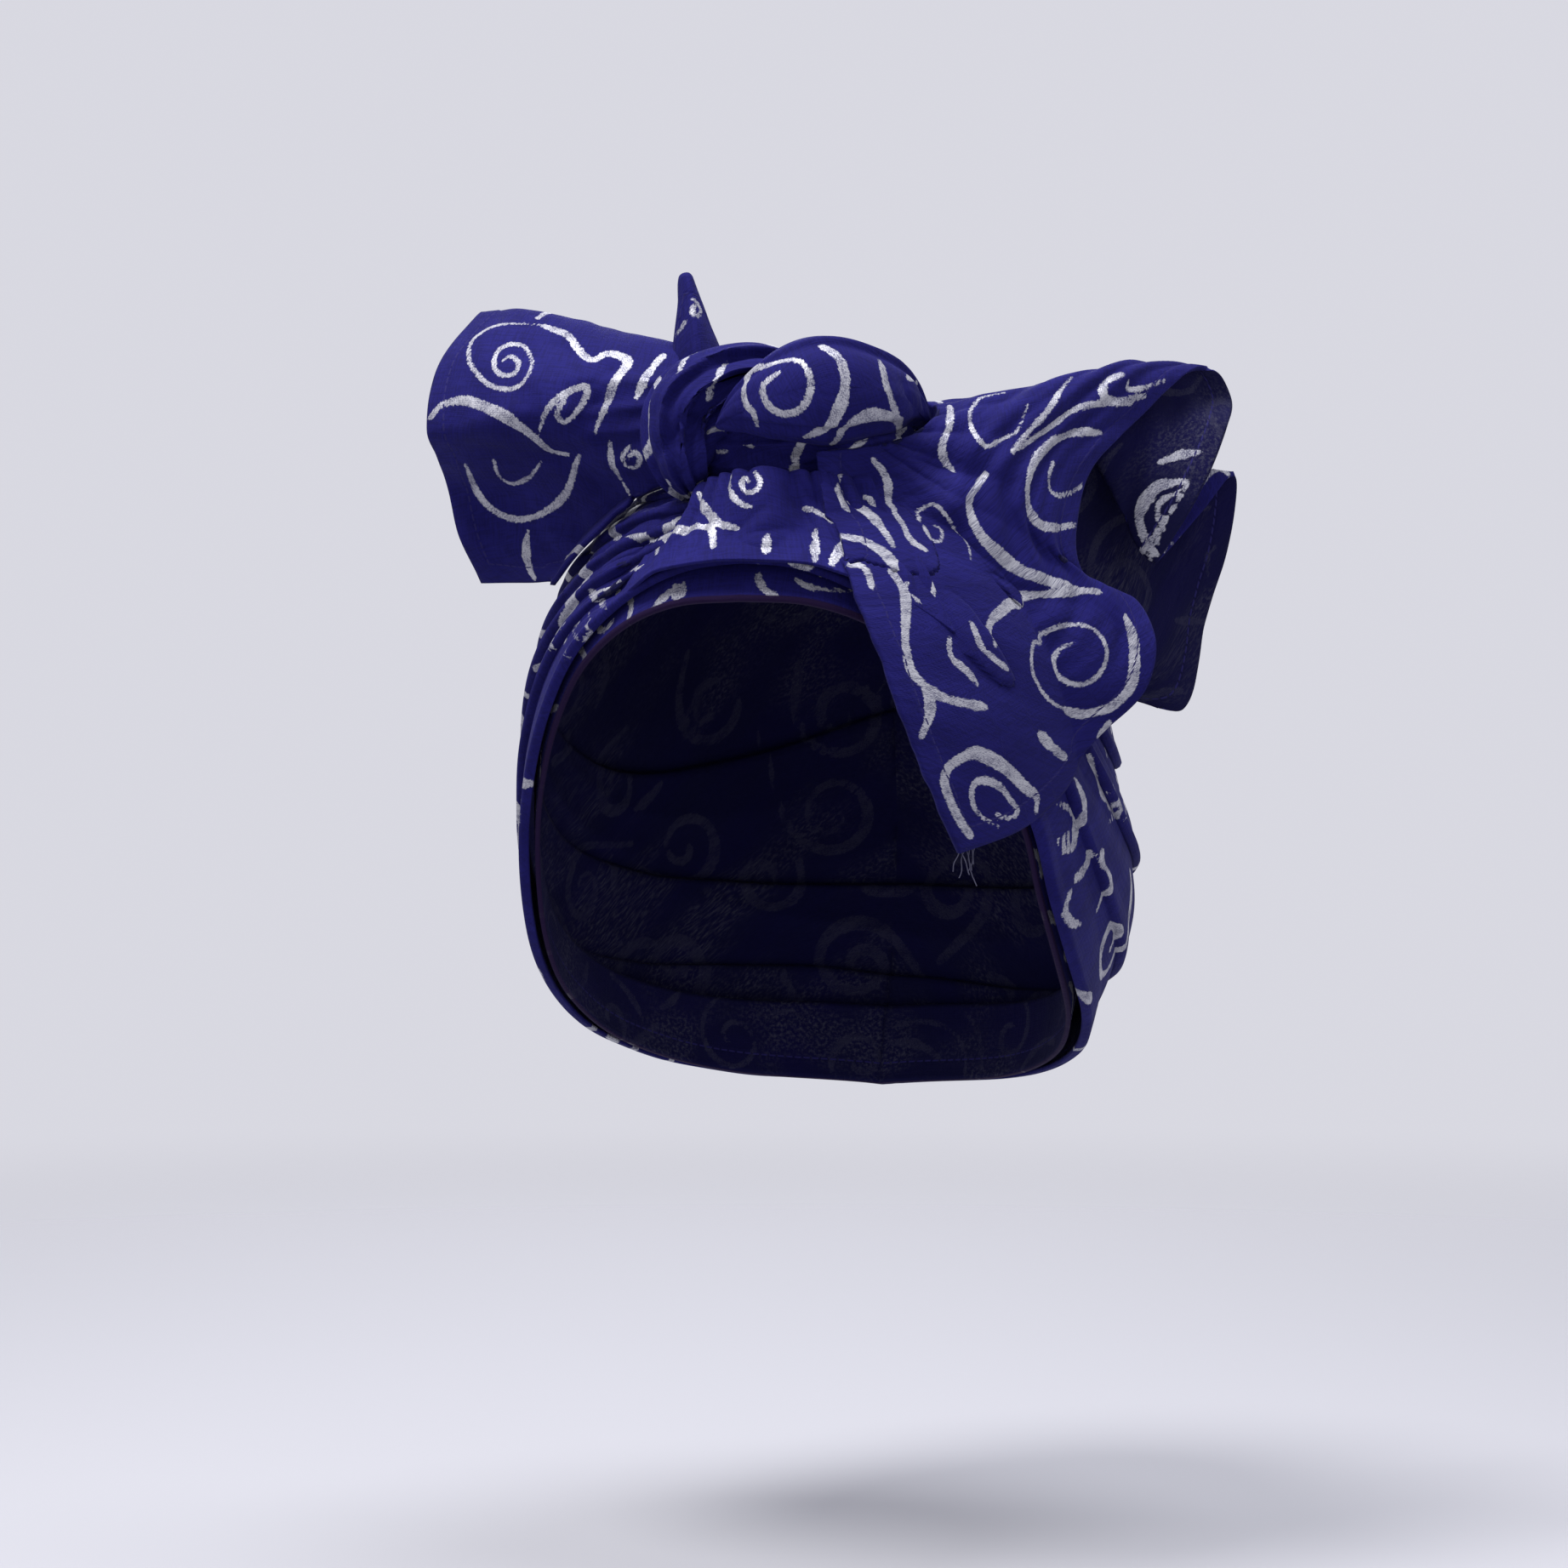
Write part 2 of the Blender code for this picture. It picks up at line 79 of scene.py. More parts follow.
def smooth_rows(keys: Array, values: Array, x: Array) -> Array:
    """Reads a table along a cubic through its rows.

    Args:
        keys: the rows' places, rising.
        values: the rows' values, one row each.
        x: where to read, of any shape.

    Returns:
        The values at x, with x's shape and the rows' length.
    """
    last = len(keys) - 1
    x = np.clip(x, keys[0], keys[last])
    i = np.clip(np.searchsorted(keys, x, side="left") - 1, 0, last - 1)
    slopes = np.diff(values, axis=0) / np.diff(keys)[:, None]
    bends = np.empty_like(values)
    bends[0], bends[-1] = slopes[0], slopes[-1]
    bends[1:-1] = (values[2:] - values[:-2]) / (keys[2:] - keys[:-2])[:, None]
    span = (keys[i + 1] - keys[i])[..., None]
    t = (x - keys[i])[..., None] / span
    return (
        values[i] * (2 * t**3 - 3 * t**2 + 1)
        + bends[i] * span * (t**3 - 2 * t**2 + t)
        + values[i + 1] * (3 * t**2 - 2 * t**3)
        + bends[i + 1] * span * (t**3 - t**2)
    )


def ease(x: Array) -> Array:
    """A smooth step from 0 to 1."""
    x = np.clip(x, 0, 1)
    return x * x * (3 - 2 * x)


def pleats(phase: Array, sharpness: float = 0.7) -> Array:
    """Rounded pleats with sharp valleys, 0 on a ridge and -1 in a valley, one to each whole."""
    return np.abs(np.cos(np.pi * phase)) ** sharpness - 1


def laps(phase: Array, drop: float = 0.14) -> Array:
    """Folds that lap over each other, rising slowly from -1 to 0 and dropping at each whole."""
    t = phase % 1.0
    rise = (t / (1 - drop)) ** 0.8
    fall = ease((1 - t) / drop)
    return np.where(t < 1 - drop, rise, fall) - 1


def ripple(x: Array, y: Array, scale: float, seed: int) -> Array:
    """A smooth seeded undulation.

    Args:
        x: places one way, in millimetres.
        y: places the other way.
        scale: the usual length of a wave.
        seed: picks the waves.

    Returns:
        Heights between about -1 and 1.
    """
    draw = random.Random(seed)
    total = np.zeros_like(x)
    for _ in range(8):
        angle = draw.uniform(0, math.tau)
        length = scale * draw.uniform(0.7, 1.6)
        phase = draw.uniform(0, math.tau)
        total += np.sin((x * math.cos(angle) + y * math.sin(angle)) * math.tau / length + phase)
    return total / 3.4


def from_bow(points: Array) -> Array:
    """Points of the bow frame turned into the row frame."""
    c, s = math.cos(BOW_TURN), math.sin(BOW_TURN)
    return points @ np.array([[c, s, 0], [-s, c, 0], [0, 0, 1]])


def to_bow(points: Array) -> Array:
    """Points of the row frame turned into the bow frame."""
    c, s = math.cos(BOW_TURN), math.sin(BOW_TURN)
    return points @ np.array([[c, -s, 0], [s, c, 0], [0, 0, 1]])


def bow_points(rows: Array) -> Array:
    """Points of the bow frame from rows of across, forward and up."""
    rows = np.asarray(rows, float)
    return rows * np.array([1.0, -1.0, 1.0])


# Head and wrap layout


@dataclass(frozen=True)
class Head:
    """The rounded hollow that the wrap leaves free."""

    half_width: float = 73.0
    half_length: float = 93.0
    centre: Triple = (0.0, 5.0, -95.0)
    crown_height: float = 95.0
    nape_depth: float = 140.0
    crown_fullness: float = 2.4
    jaw_fullness: float = 2.0

    def point(self, direction: Array, lift: Array | float) -> Array:
        """Points outside the hollow.

        Args:
            direction: unit vectors from the hollow's centre.
            lift: how far outside the hollow.

        Returns:
            One point for each direction.
        """
        x, y, z = direction[..., 0], direction[..., 1], direction[..., 2]
        above = z >= 0
        height = np.where(above, self.crown_height, -self.nape_depth)
        power = np.where(above, self.crown_fullness, self.jaw_fullness)
        across = np.hypot(x / self.half_width, y / self.half_length)
        rise = z / height
        reach = (across**power + rise**power) ** (-1 / power)
        spread = across ** (power - 2)
        normal = np.stack([
            spread * x / self.half_width**2,
            spread * y / self.half_length**2,
            rise ** (power - 1) / height,
        ], axis=-1)
        lift = np.broadcast_to(np.asarray(lift, float), x.shape)
        return (np.array(self.centre) + direction * reach[..., None]
                + unit(normal) * lift[..., None])

    def direction(self, azimuth: Array, height: Array) -> Array:
        """Directions to the hollow at azimuths from the brow, in radians, and heights."""
        z = np.asarray(height, float) - self.centre[2]
        above = z >= 0
        power = np.where(above, self.crown_fullness, self.jaw_fullness)
        share = np.where(above, z / self.crown_height, -z / self.nape_depth)
        level = np.maximum(1 - np.abs(share) ** power, 0) ** (1 / power)
        return unit(np.stack([
            self.half_width * level * np.sin(azimuth),
            -self.half_length * level * np.cos(azimuth),
            z + 0 * azimuth,
        ], axis=-1))


@dataclass
class WrapLayout:
    """How the cloth runs from the knot's seat to the rim of the face opening."""

    head: Head = field(default_factory=Head)
    rim: tuple[tuple[float, float, float, float], ...] = (
        (0, -42, 0, -25), (15, -43, 15, -25), (28, -48, 31, -26), (40, -58, 50, -28),
        (48, -71, 66, -34), (54, -83, 78, -42), (62, -100, 90, -52), (68, -118, 100, -62),
        (78, -135, 110, -72), (90, -147, 120, -78), (110, -160, 134, -78),
        (140, -170, 154, -72), (180, -174, 180, -66),
    )
    seat_height: float = -13.0
    mean_radius: float = 85.0
    brow_reveal: float = 9.0
    side_reveal: float = 2.0
    reveal_fade: float = 62.0
    bulges: tuple[tuple[float, float, float, float, float], ...] = (
        (108, 0.74, 10, 34, 0.20), (-112, 0.74, 4, 34, 0.22), (180, 0.60, 4, 50, 0.20),
    )

    def __post_init__(self) -> None:
        """Lays the rim's table out by the length of the rim."""
        rows = np.array(self.rim, float)
        edge = self.head.point(self.head.direction(np.radians(rows[:, 0]), rows[:, 1]), 0.0)
        run = np.concatenate([[0], np.cumsum(np.linalg.norm(np.diff(edge, axis=0), axis=1))])
        self.keys, self.values = run / run[-1], rows
        self.seat = self.head.direction(np.array(0.0), np.array(self.seat_height))

    def edges(self, turned: Array) -> tuple[Array, Array, Array]:
        """Directions of the rim and of the way to it, and azimuths, at shares of the rim."""
        rows = smooth_rows(self.keys, self.values, np.abs(turned))
        side = np.where(turned < 0, -1.0, 1.0)
        edge = self.head.direction(np.radians(rows[..., 0]) * side, rows[..., 1])
        way = self.head.direction(np.radians(rows[..., 2]) * side, rows[..., 3])
        return edge, way, rows[..., 0] * side

    def reveal(self, azimuth: Array) -> Array:
        """How far the wrap's edge stays back from the rim, so that the brow band shows."""
        fade = ease(np.abs(azimuth) / self.reveal_fade)
        return self.brow_reveal + (self.side_reveal - self.brow_reveal) * fade

    def direction(self, turned: Array, share: Array, reveal: Array | float) -> Array:
        """Directions on the way from the knot's seat (share 0) to the rim (share 1)."""
        edge, way, _ = self.edges(turned)
        reach = np.linalg.norm(edge - way, axis=-1)
        part = (share * (1 - reveal / (2 * reach * self.mean_radius)))[..., None]
        bent = self.seat * (1 - part) ** 2 + way * (2 * part * (1 - part)) + edge * part**2
        return unit(bent)

    def pitch(self, turned: Array, share: Array) -> Array:
        """Millimetres of cloth to one whole share of the way, near a share."""
        edge, way, _ = self.edges(turned)
        part = share[..., None]
        slope = 2 * (1 - part) * (way - self.seat) + 2 * part * (edge - way)
        return np.linalg.norm(slope, axis=-1) * self.mean_radius

    def fullness(self, azimuth: Array, share: Array) -> Array:
        """How far the gathered cloth stands off at the sides and the back."""
        total = np.zeros_like(share)
        for middle, middle_share, height, across, along in self.bulges:
            away = (azimuth - middle + 180) % 360 - 180
            total += height * np.exp(
                -((away / across) ** 2) - ((share - middle_share) / along) ** 2)
        return total


# Patches of cloth


@dataclass
class Patch:
    """A surface of cloth as rows and columns of points.

    The printed side faces along the cross product of u and v, times facing.
    """

    points: Array
    closed: bool = False
    facing: float = 1.0
    hems: str = "vlr"

    def __post_init__(self) -> None:
        """Measures the grid's slopes and running lengths."""
        self.rows, self.columns = self.points.shape[:2]
        self.slope_u = np.gradient(self.points, 1 / (self.columns - 1), axis=1)
        self.slope_v = np.gradient(self.points, 1 / (self.rows - 1), axis=0)
        across = np.linalg.norm(np.diff(self.points, axis=1), axis=2)
        down = np.linalg.norm(np.diff(self.points, axis=0), axis=2)
        self.run_u = np.pad(np.cumsum(across, axis=1), ((0, 0), (1, 0)))
        self.run_v = np.pad(np.cumsum(down, axis=0), ((1, 0), (0, 0)))

    def normals(self) -> Array:
        """Unit normals on the printed side."""
        return unit(np.cross(self.slope_u, self.slope_v)) * self.facing

    def pushed(self, heights: Array) -> "Patch":
        """The same patch with its points moved along their normals."""
        return Patch(self.points + self.normals() * heights[..., None],
                     self.closed, self.facing, self.hems)

    def faced(self, u: float, v: float, towards: Triple) -> "Patch":
        """The same patch with its printed side facing a direction at one place."""
        row, column = self.index(u, v)
        flip = np.dot(self.normals()[row, column], np.array(towards)) < 0
        return Patch(self.points, self.closed, -self.facing if flip else self.facing, self.hems)

    def index(self, u: float, v: float) -> tuple[int, int]:
        """The nearest row and column to a place."""
        if self.closed:
            u %= 1.0
        row = min(max(round(v * (self.rows - 1)), 0), self.rows - 1)
        return row, min(max(round(u * (self.columns - 1)), 0), self.columns - 1)

    def place(self, u: Array, v: Array) -> Array:
        """Points of the surface at places, between the grid's points."""
        if self.closed:
            u = u % 1.0
        x = np.clip(u, 0, 1) * (self.columns - 1)
        y = np.clip(v, 0, 1) * (self.rows - 1)
        i = np.minimum(x.astype(int), self.columns - 2)
        j = np.minimum(y.astype(int), self.rows - 2)
        s, t = (x - i)[..., None], (y - j)[..., None]
        grid = self.points
        return ((grid[j, i] * (1 - s) + grid[j, i + 1] * s) * (1 - t)
                + (grid[j + 1, i] * (1 - s) + grid[j + 1, i + 1] * s) * t)

    def hem_distance(self) -> tuple[Array, Array]:
        """How far each point is from the nearest hem, and its place along that hem."""
        far = np.full(self.points.shape[:2], 99.0)
        run = np.zeros_like(far)
        choices = {
            "v": (self.run_v[-1:] - self.run_v, self.run_u),
            "l": (self.run_u, self.run_v),
            "r": (self.run_u[:, -1:] - self.run_u, self.run_v),
        }
        for hem in self.hems:
            away, along = choices[hem]
            nearer = away < far
            far = np.where(nearer, away, far)
            run = np.where(nearer, along, run)
        return far, run

    def area(self) -> float:
        """The area of one side, in square millimetres."""
        return float(np.linalg.norm(np.cross(self.slope_u, self.slope_v), axis=2).mean())


# Lines on a patch


def sampled(patch: Patch, places: tuple[Point, ...]) -> Array:
    """Close samples, about 0.8 mm apart, of a smooth line through places of a patch."""
    rows = np.array(places, float)
    keys = np.arange(len(rows), dtype=float)
    rough = smooth_rows(keys, rows, np.linspace(0, keys[-1], 8 * len(rows)))
    solid = patch.place(rough[:, 0], rough[:, 1])
    length = np.linalg.norm(np.diff(solid, axis=0), axis=1).sum()
    return smooth_rows(keys, rows, np.linspace(0, keys[-1], max(int(length / 0.8), 4)))


def line_distance(patch: Patch, paths: list[tuple[Array, Array]], reach: float) -> Array:
    """How far each point of a patch is from the edge of the nearest of some lines.

    Args:
        patch: the surface.
        paths: each line's places and half widths.
        reach: the largest distance that is told apart.

    Returns:
        Millimetres, below zero inside a line and never more than reach.
    """
    flat = patch.points.reshape(-1, 3)
    columns, rows = np.meshgrid(np.linspace(0, 1, patch.columns), np.linspace(0, 1, patch.rows))
    u, v = columns.ravel(), rows.ravel()
    slope_u, slope_v = patch.slope_u.reshape(-1, 3), patch.slope_v.reshape(-1, 3)
    uu, vv = np.sum(slope_u**2, 1), np.sum(slope_v**2, 1)
    uv = np.sum(slope_u * slope_v, 1)
    found = np.full(len(flat), reach)
    for line, halves in paths:
        on = patch.place(line[:, 0], line[:, 1])
        low, high = on.min(0) - reach, on.max(0) + reach
        near = np.nonzero(np.all((flat > low) & (flat < high), axis=1))[0]
        for part in np.array_split(near, len(near) * len(line) // 1_500_000 + 1):
            step_u = line[None, :, 0] - u[part, None]
            if patch.closed:
                step_u = (step_u + 0.5) % 1.0 - 0.5
            step_v = line[None, :, 1] - v[part, None]
            chart = (uu[part, None] * step_u**2 + vv[part, None] * step_v**2
                     + 2 * uv[part, None] * step_u * step_v)
            gaps = flat[part, None] - on[None]
            away = np.sqrt(np.maximum(np.maximum(chart, 0), np.sum(gaps**2, axis=2)))
            found[part] = np.minimum(found[part], np.min(away - halves[None], axis=1))
    return found.reshape(patch.points.shape[:2])


@dataclass(frozen=True)
class Crease:
    """A fold along places of a patch: a valley, or a ridge where its depth is below zero."""

    depth: float
    width: float
    places: tuple[Point, ...]


CREASE_REACH = 4.5
CREASE_TAPER = 2.5
TAPER_SPAN = (0.04, 0.96)


def creased(patch: Patch, creases: tuple[Crease, ...], level: float = 0.5) -> Patch:
    """The same patch with folds pressed in, each fading towards its ends.

    Args:
        patch: the surface.
        creases: its folds.
        level: how far they are pressed level from in front, and not along the normals.

    Returns:
        The folded surface.
    """
    heights = np.zeros(patch.points.shape[:2])
    for crease in creases:
        line = sampled(patch, crease.places)
        fade = 1 - np.sin(np.pi * np.linspace(*TAPER_SPAN, len(line))) ** 0.5
        reach = CREASE_REACH * crease.width
        away = line_distance(patch, [(line, -CREASE_TAPER * crease.width * fade)], reach)
        press = np.exp(-away / crease.width) - math.exp(-CREASE_REACH)
        heights -= crease.depth * np.clip(press, 0, 1)
    front = from_bow(np.array([0.0, -1.0, 0.0]))
    out = unit(patch.normals() * (1 - level) + front * level)
    return Patch(patch.points + out * heights[..., None], patch.closed, patch.facing, patch.hems)


def relaxed(points: Array, times: int) -> Array:
    """A grid of points with its sharpest kinks evened out, its edges kept."""
    points = points.copy()
    for _ in range(times):
        near = (points[:-2, 1:-1] + points[2:, 1:-1] + points[1:-1, :-2] + points[1:-1, 2:]) / 4
        points[1:-1, 1:-1] = (points[1:-1, 1:-1] + near) / 2
    return points


# Printed scrolls


@dataclass(frozen=True)
class Stroke:
    """A printed stroke through places of a patch, with its width in millimetres.

    A soaked stroke shows on the wrong side as well.
    """

    width: float
    places: tuple[Point, ...]
    soaked: bool = False


@dataclass
class ScrollPrint:
    """The silver scrolls on one patch: drawn strokes, and seeded scrolls where none is drawn."""

    strokes: tuple[Stroke, ...] = ()
    seed: int = 1
    clear_of_drawn: float = 15.0
    spacing: float = 27.0
    scroll_radius: float = 12.0
    scroll_gap: float = 7.5
    reach: float = 7.0
    tries: int = 900
    widths: Point = (1.7, 3.2)
    sizes: Point = (0.75, 1.2)
    tails: Point = (14, 46)
    scroll_share: float = 0.6
    arc_room: float = 0.55
    arc_radii: Point = (30, 11)
    leaving_radius: float = 34
    first_radius_squared: float = 2.0
    clear_of_lines: float = 4.5
    shortest: int = 12
    narrowest_chart: float = 15

    def drawn(self, patch: Patch) -> list[tuple[Array, Array]]:
        """The drawn strokes as close samples.

        Args:
            patch: the surface that they lie on.

        Returns:
            For each stroke its places and half widths.
        """
        paths = []
        for number, stroke in enumerate(self.strokes):
            line = sampled(patch, stroke.places)
            paths.append((line, self.half_widths(len(line), stroke.width, number)))
        return paths

    def half_widths(self, count: int, width: float, number: int) -> Array:
        """Half widths along a stroke, which swells and narrows towards its ends."""
        t = np.linspace(0, 1, count)
        swell = 1 + 0.16 * np.sin(t * 9.0 + number * 1.7) + 0.08 * np.sin(t * 23.0 + number)
        return 0.5 * width * swell * (0.55 + 0.45 * np.sin(np.pi * t) ** 0.5)

    def walked(self, patch: Patch, start: Point, heading: float, bends: Array,
               placed: Array, clear: float) -> Array:
        """A line drawn on the surface by walking and turning.

        Args:
            patch: the surface.
            start: the first place.
            heading: the first direction, in radians from u.
            bends: how much it turns at each millimetre.
            placed: points of other strokes, which it stays clear of.
            clear: how far it stays from them.

        Returns:
            The line's places.
        """
        u, v = start
        line = []
        for bend in bends:
            row, column = patch.index(u, v)
            slope_u, slope_v = patch.slope_u[row, column], patch.slope_v[row, column]
            length_u = max(float(np.linalg.norm(slope_u)), 1e-6)
            lean = float(slope_v @ slope_u) / length_u
            length_v = math.sqrt(max(float(slope_v @ slope_v) - lean**2, 1e-6))
            step_v = math.sin(heading) / length_v
            u += (math.cos(heading) - step_v * lean) / length_u
            v += step_v
            heading += bend
            outside = not -0.01 < v < 1.01 or (not patch.closed and not -0.01 < u < 1.01)
            if outside or length_u < 12:
                break
            here = patch.points[row, column]
            if len(placed) and np.min(np.sum((placed - here) ** 2, axis=1)) < clear**2:
                break
            line.append((u, v))
        return np.array(line)

    def seeded(self, patch: Patch, placed: Array) -> list[tuple[Array, Array]]:
        """Scrolls and arcs wherever the drawn strokes leave the cloth bare.

        Args:
            patch: the surface.
            placed: points of the drawn strokes.

        Returns:
            For each line its places and half widths.
        """
        draw = random.Random(self.seed)
        paths: list[tuple[Array, Array]] = []
        centres = np.zeros((0, 3))
        growth = self.scroll_gap / math.tau
        for attempt in range(self.tries):
            arc = attempt > self.tries * self.scroll_share
            u, v = draw.random(), draw.random()
            heading = draw.uniform(0, math.tau)
            hand = draw.choice((-1, 1))
            size, tail = draw.uniform(*self.sizes), draw.uniform(*self.tails)
            width = draw.uniform(*self.widths)
            row, column = patch.index(u, v)
            here = patch.points[row, column]
            if np.linalg.norm(patch.slope_u[row, column]) < self.narrowest_chart:
                continue
            room = self.clear_of_drawn * (self.arc_room if arc else 1.0)
            if len(placed) and np.min(np.sum((placed - here) ** 2, axis=1)) < room**2:
                continue
            if not arc and len(centres):
                if np.min(np.sum((centres - here) ** 2, axis=1)) < self.spacing**2:
                    continue
            if arc:
                wide, narrow = self.arc_radii
                bends = hand * np.linspace(1 / wide, 1 / narrow, int(tail + self.shortest))
            else:
                end = self.scroll_radius * size
                length = (end**2 - self.first_radius_squared) / (2 * growth)
                radii = np.sqrt(self.first_radius_squared
                                + 2 * growth * np.arange(0, length, 1.0))
                leaving = np.linspace(1 / end, -1 / self.leaving_radius, int(tail))
                bends = hand * np.concatenate([1 / radii, leaving])
            line = self.walked(patch, (u, v), heading, bends, placed, self.clear_of_lines)
            if len(line) < self.shortest:
                continue
            solid = patch.place(line[:, 0], line[:, 1])
            placed = np.concatenate([placed, solid])
            centres = np.concatenate([centres, here[None]])
            paths.append((line, self.half_widths(len(line), width, attempt)))
        return paths

    def layers(self, patch: Patch) -> tuple[Array, Array]:
        """Distances to the nearest stroke, and to the nearest one that is soaked through."""
        paths = self.drawn(patch)
        solid = [patch.place(line[:, 0], line[:, 1]) for line, _ in paths]
        soaked = [path for path, stroke in zip(paths, self.strokes) if stroke.soaked]
        paths += self.seeded(patch, np.concatenate(solid) if solid else np.zeros((0, 3)))
        return (line_distance(patch, paths, self.reach),
                line_distance(patch, soaked, self.reach))


# Finishes


class Graph:
    """Adds and joins the nodes of one material."""

    def __init__(self, name: str) -> None:
        """Starts a material with only its output and its shader."""
        self.material = bpy.data.materials.new(name)
        self.material.use_nodes = True
        self.tree = self.material.node_tree
        self.shader = self.tree.nodes["Principled BSDF"]

    def add(self, kind: str, inputs: dict, **settings: object) -> bpy.types.Node:
        """Adds a node.

        Args:
            kind: its type.
            inputs: values or sockets for its inputs, by name or number.
            settings: its own settings.

        Returns:
            The node.
        """
        node = self.tree.nodes.new(kind)
        for name, value in settings.items():
            setattr(node, name, value)
        for name, value in inputs.items():
            self.feed(node.inputs[name], value)
        return node

    def feed(self, socket: bpy.types.NodeSocket, value: object) -> None:
        """Gives a socket a value, or joins another socket to it."""
        if isinstance(value, bpy.types.NodeSocket):
            self.tree.links.new(value, socket)
        else:
            socket.default_value = value

    def attribute(self, name: str) -> bpy.types.NodeSocket:
        """A number that each point of the mesh carries."""
        node = self.add("ShaderNodeAttribute", {}, attribute_name=name)
        return node.outputs["Fac"]

    def math(self, operation: str, *values: object) -> bpy.types.NodeSocket:
        """The result of a calculation with one, two or three numbers."""
        node = self.add("ShaderNodeMath", dict(enumerate(values)), operation=operation)
        return node.outputs[0]

    def ramp(self, value: object, start: float, end: float, low: float = 0.0,
             high: float = 1.0) -> bpy.types.NodeSocket:
        """A smooth step of a value from low at start to high at end."""
        node = self.add("ShaderNodeMapRange", {
            "Value": value, "From Min": start, "From Max": end, "To Min": low, "To Max": high,
        }, interpolation_type="SMOOTHSTEP")
        return node.outputs["Result"]

    def noise(self, vector: object, scale: float, detail: float = 2.0,
              roughness: float = 0.5) -> bpy.types.NodeSocket:
        """A cloud of values round one half."""
        node = self.add("ShaderNodeTexNoise", {
            "Vector": vector, "Scale": scale, "Detail": detail, "Roughness": roughness,
        })
        return node.outputs[0]

    def mix(self, share: object, first: object, second: object) -> bpy.types.NodeSocket:
        """A colour between two others."""
        node = self.add("ShaderNodeMix", {0: share, 6: first, 7: second}, data_type="RGBA")
        return node.outputs[2]


def opaque(colour: Colour) -> tuple[float, float, float, float]:
    """A colour with its alpha."""
    return (*colour, 1.0)


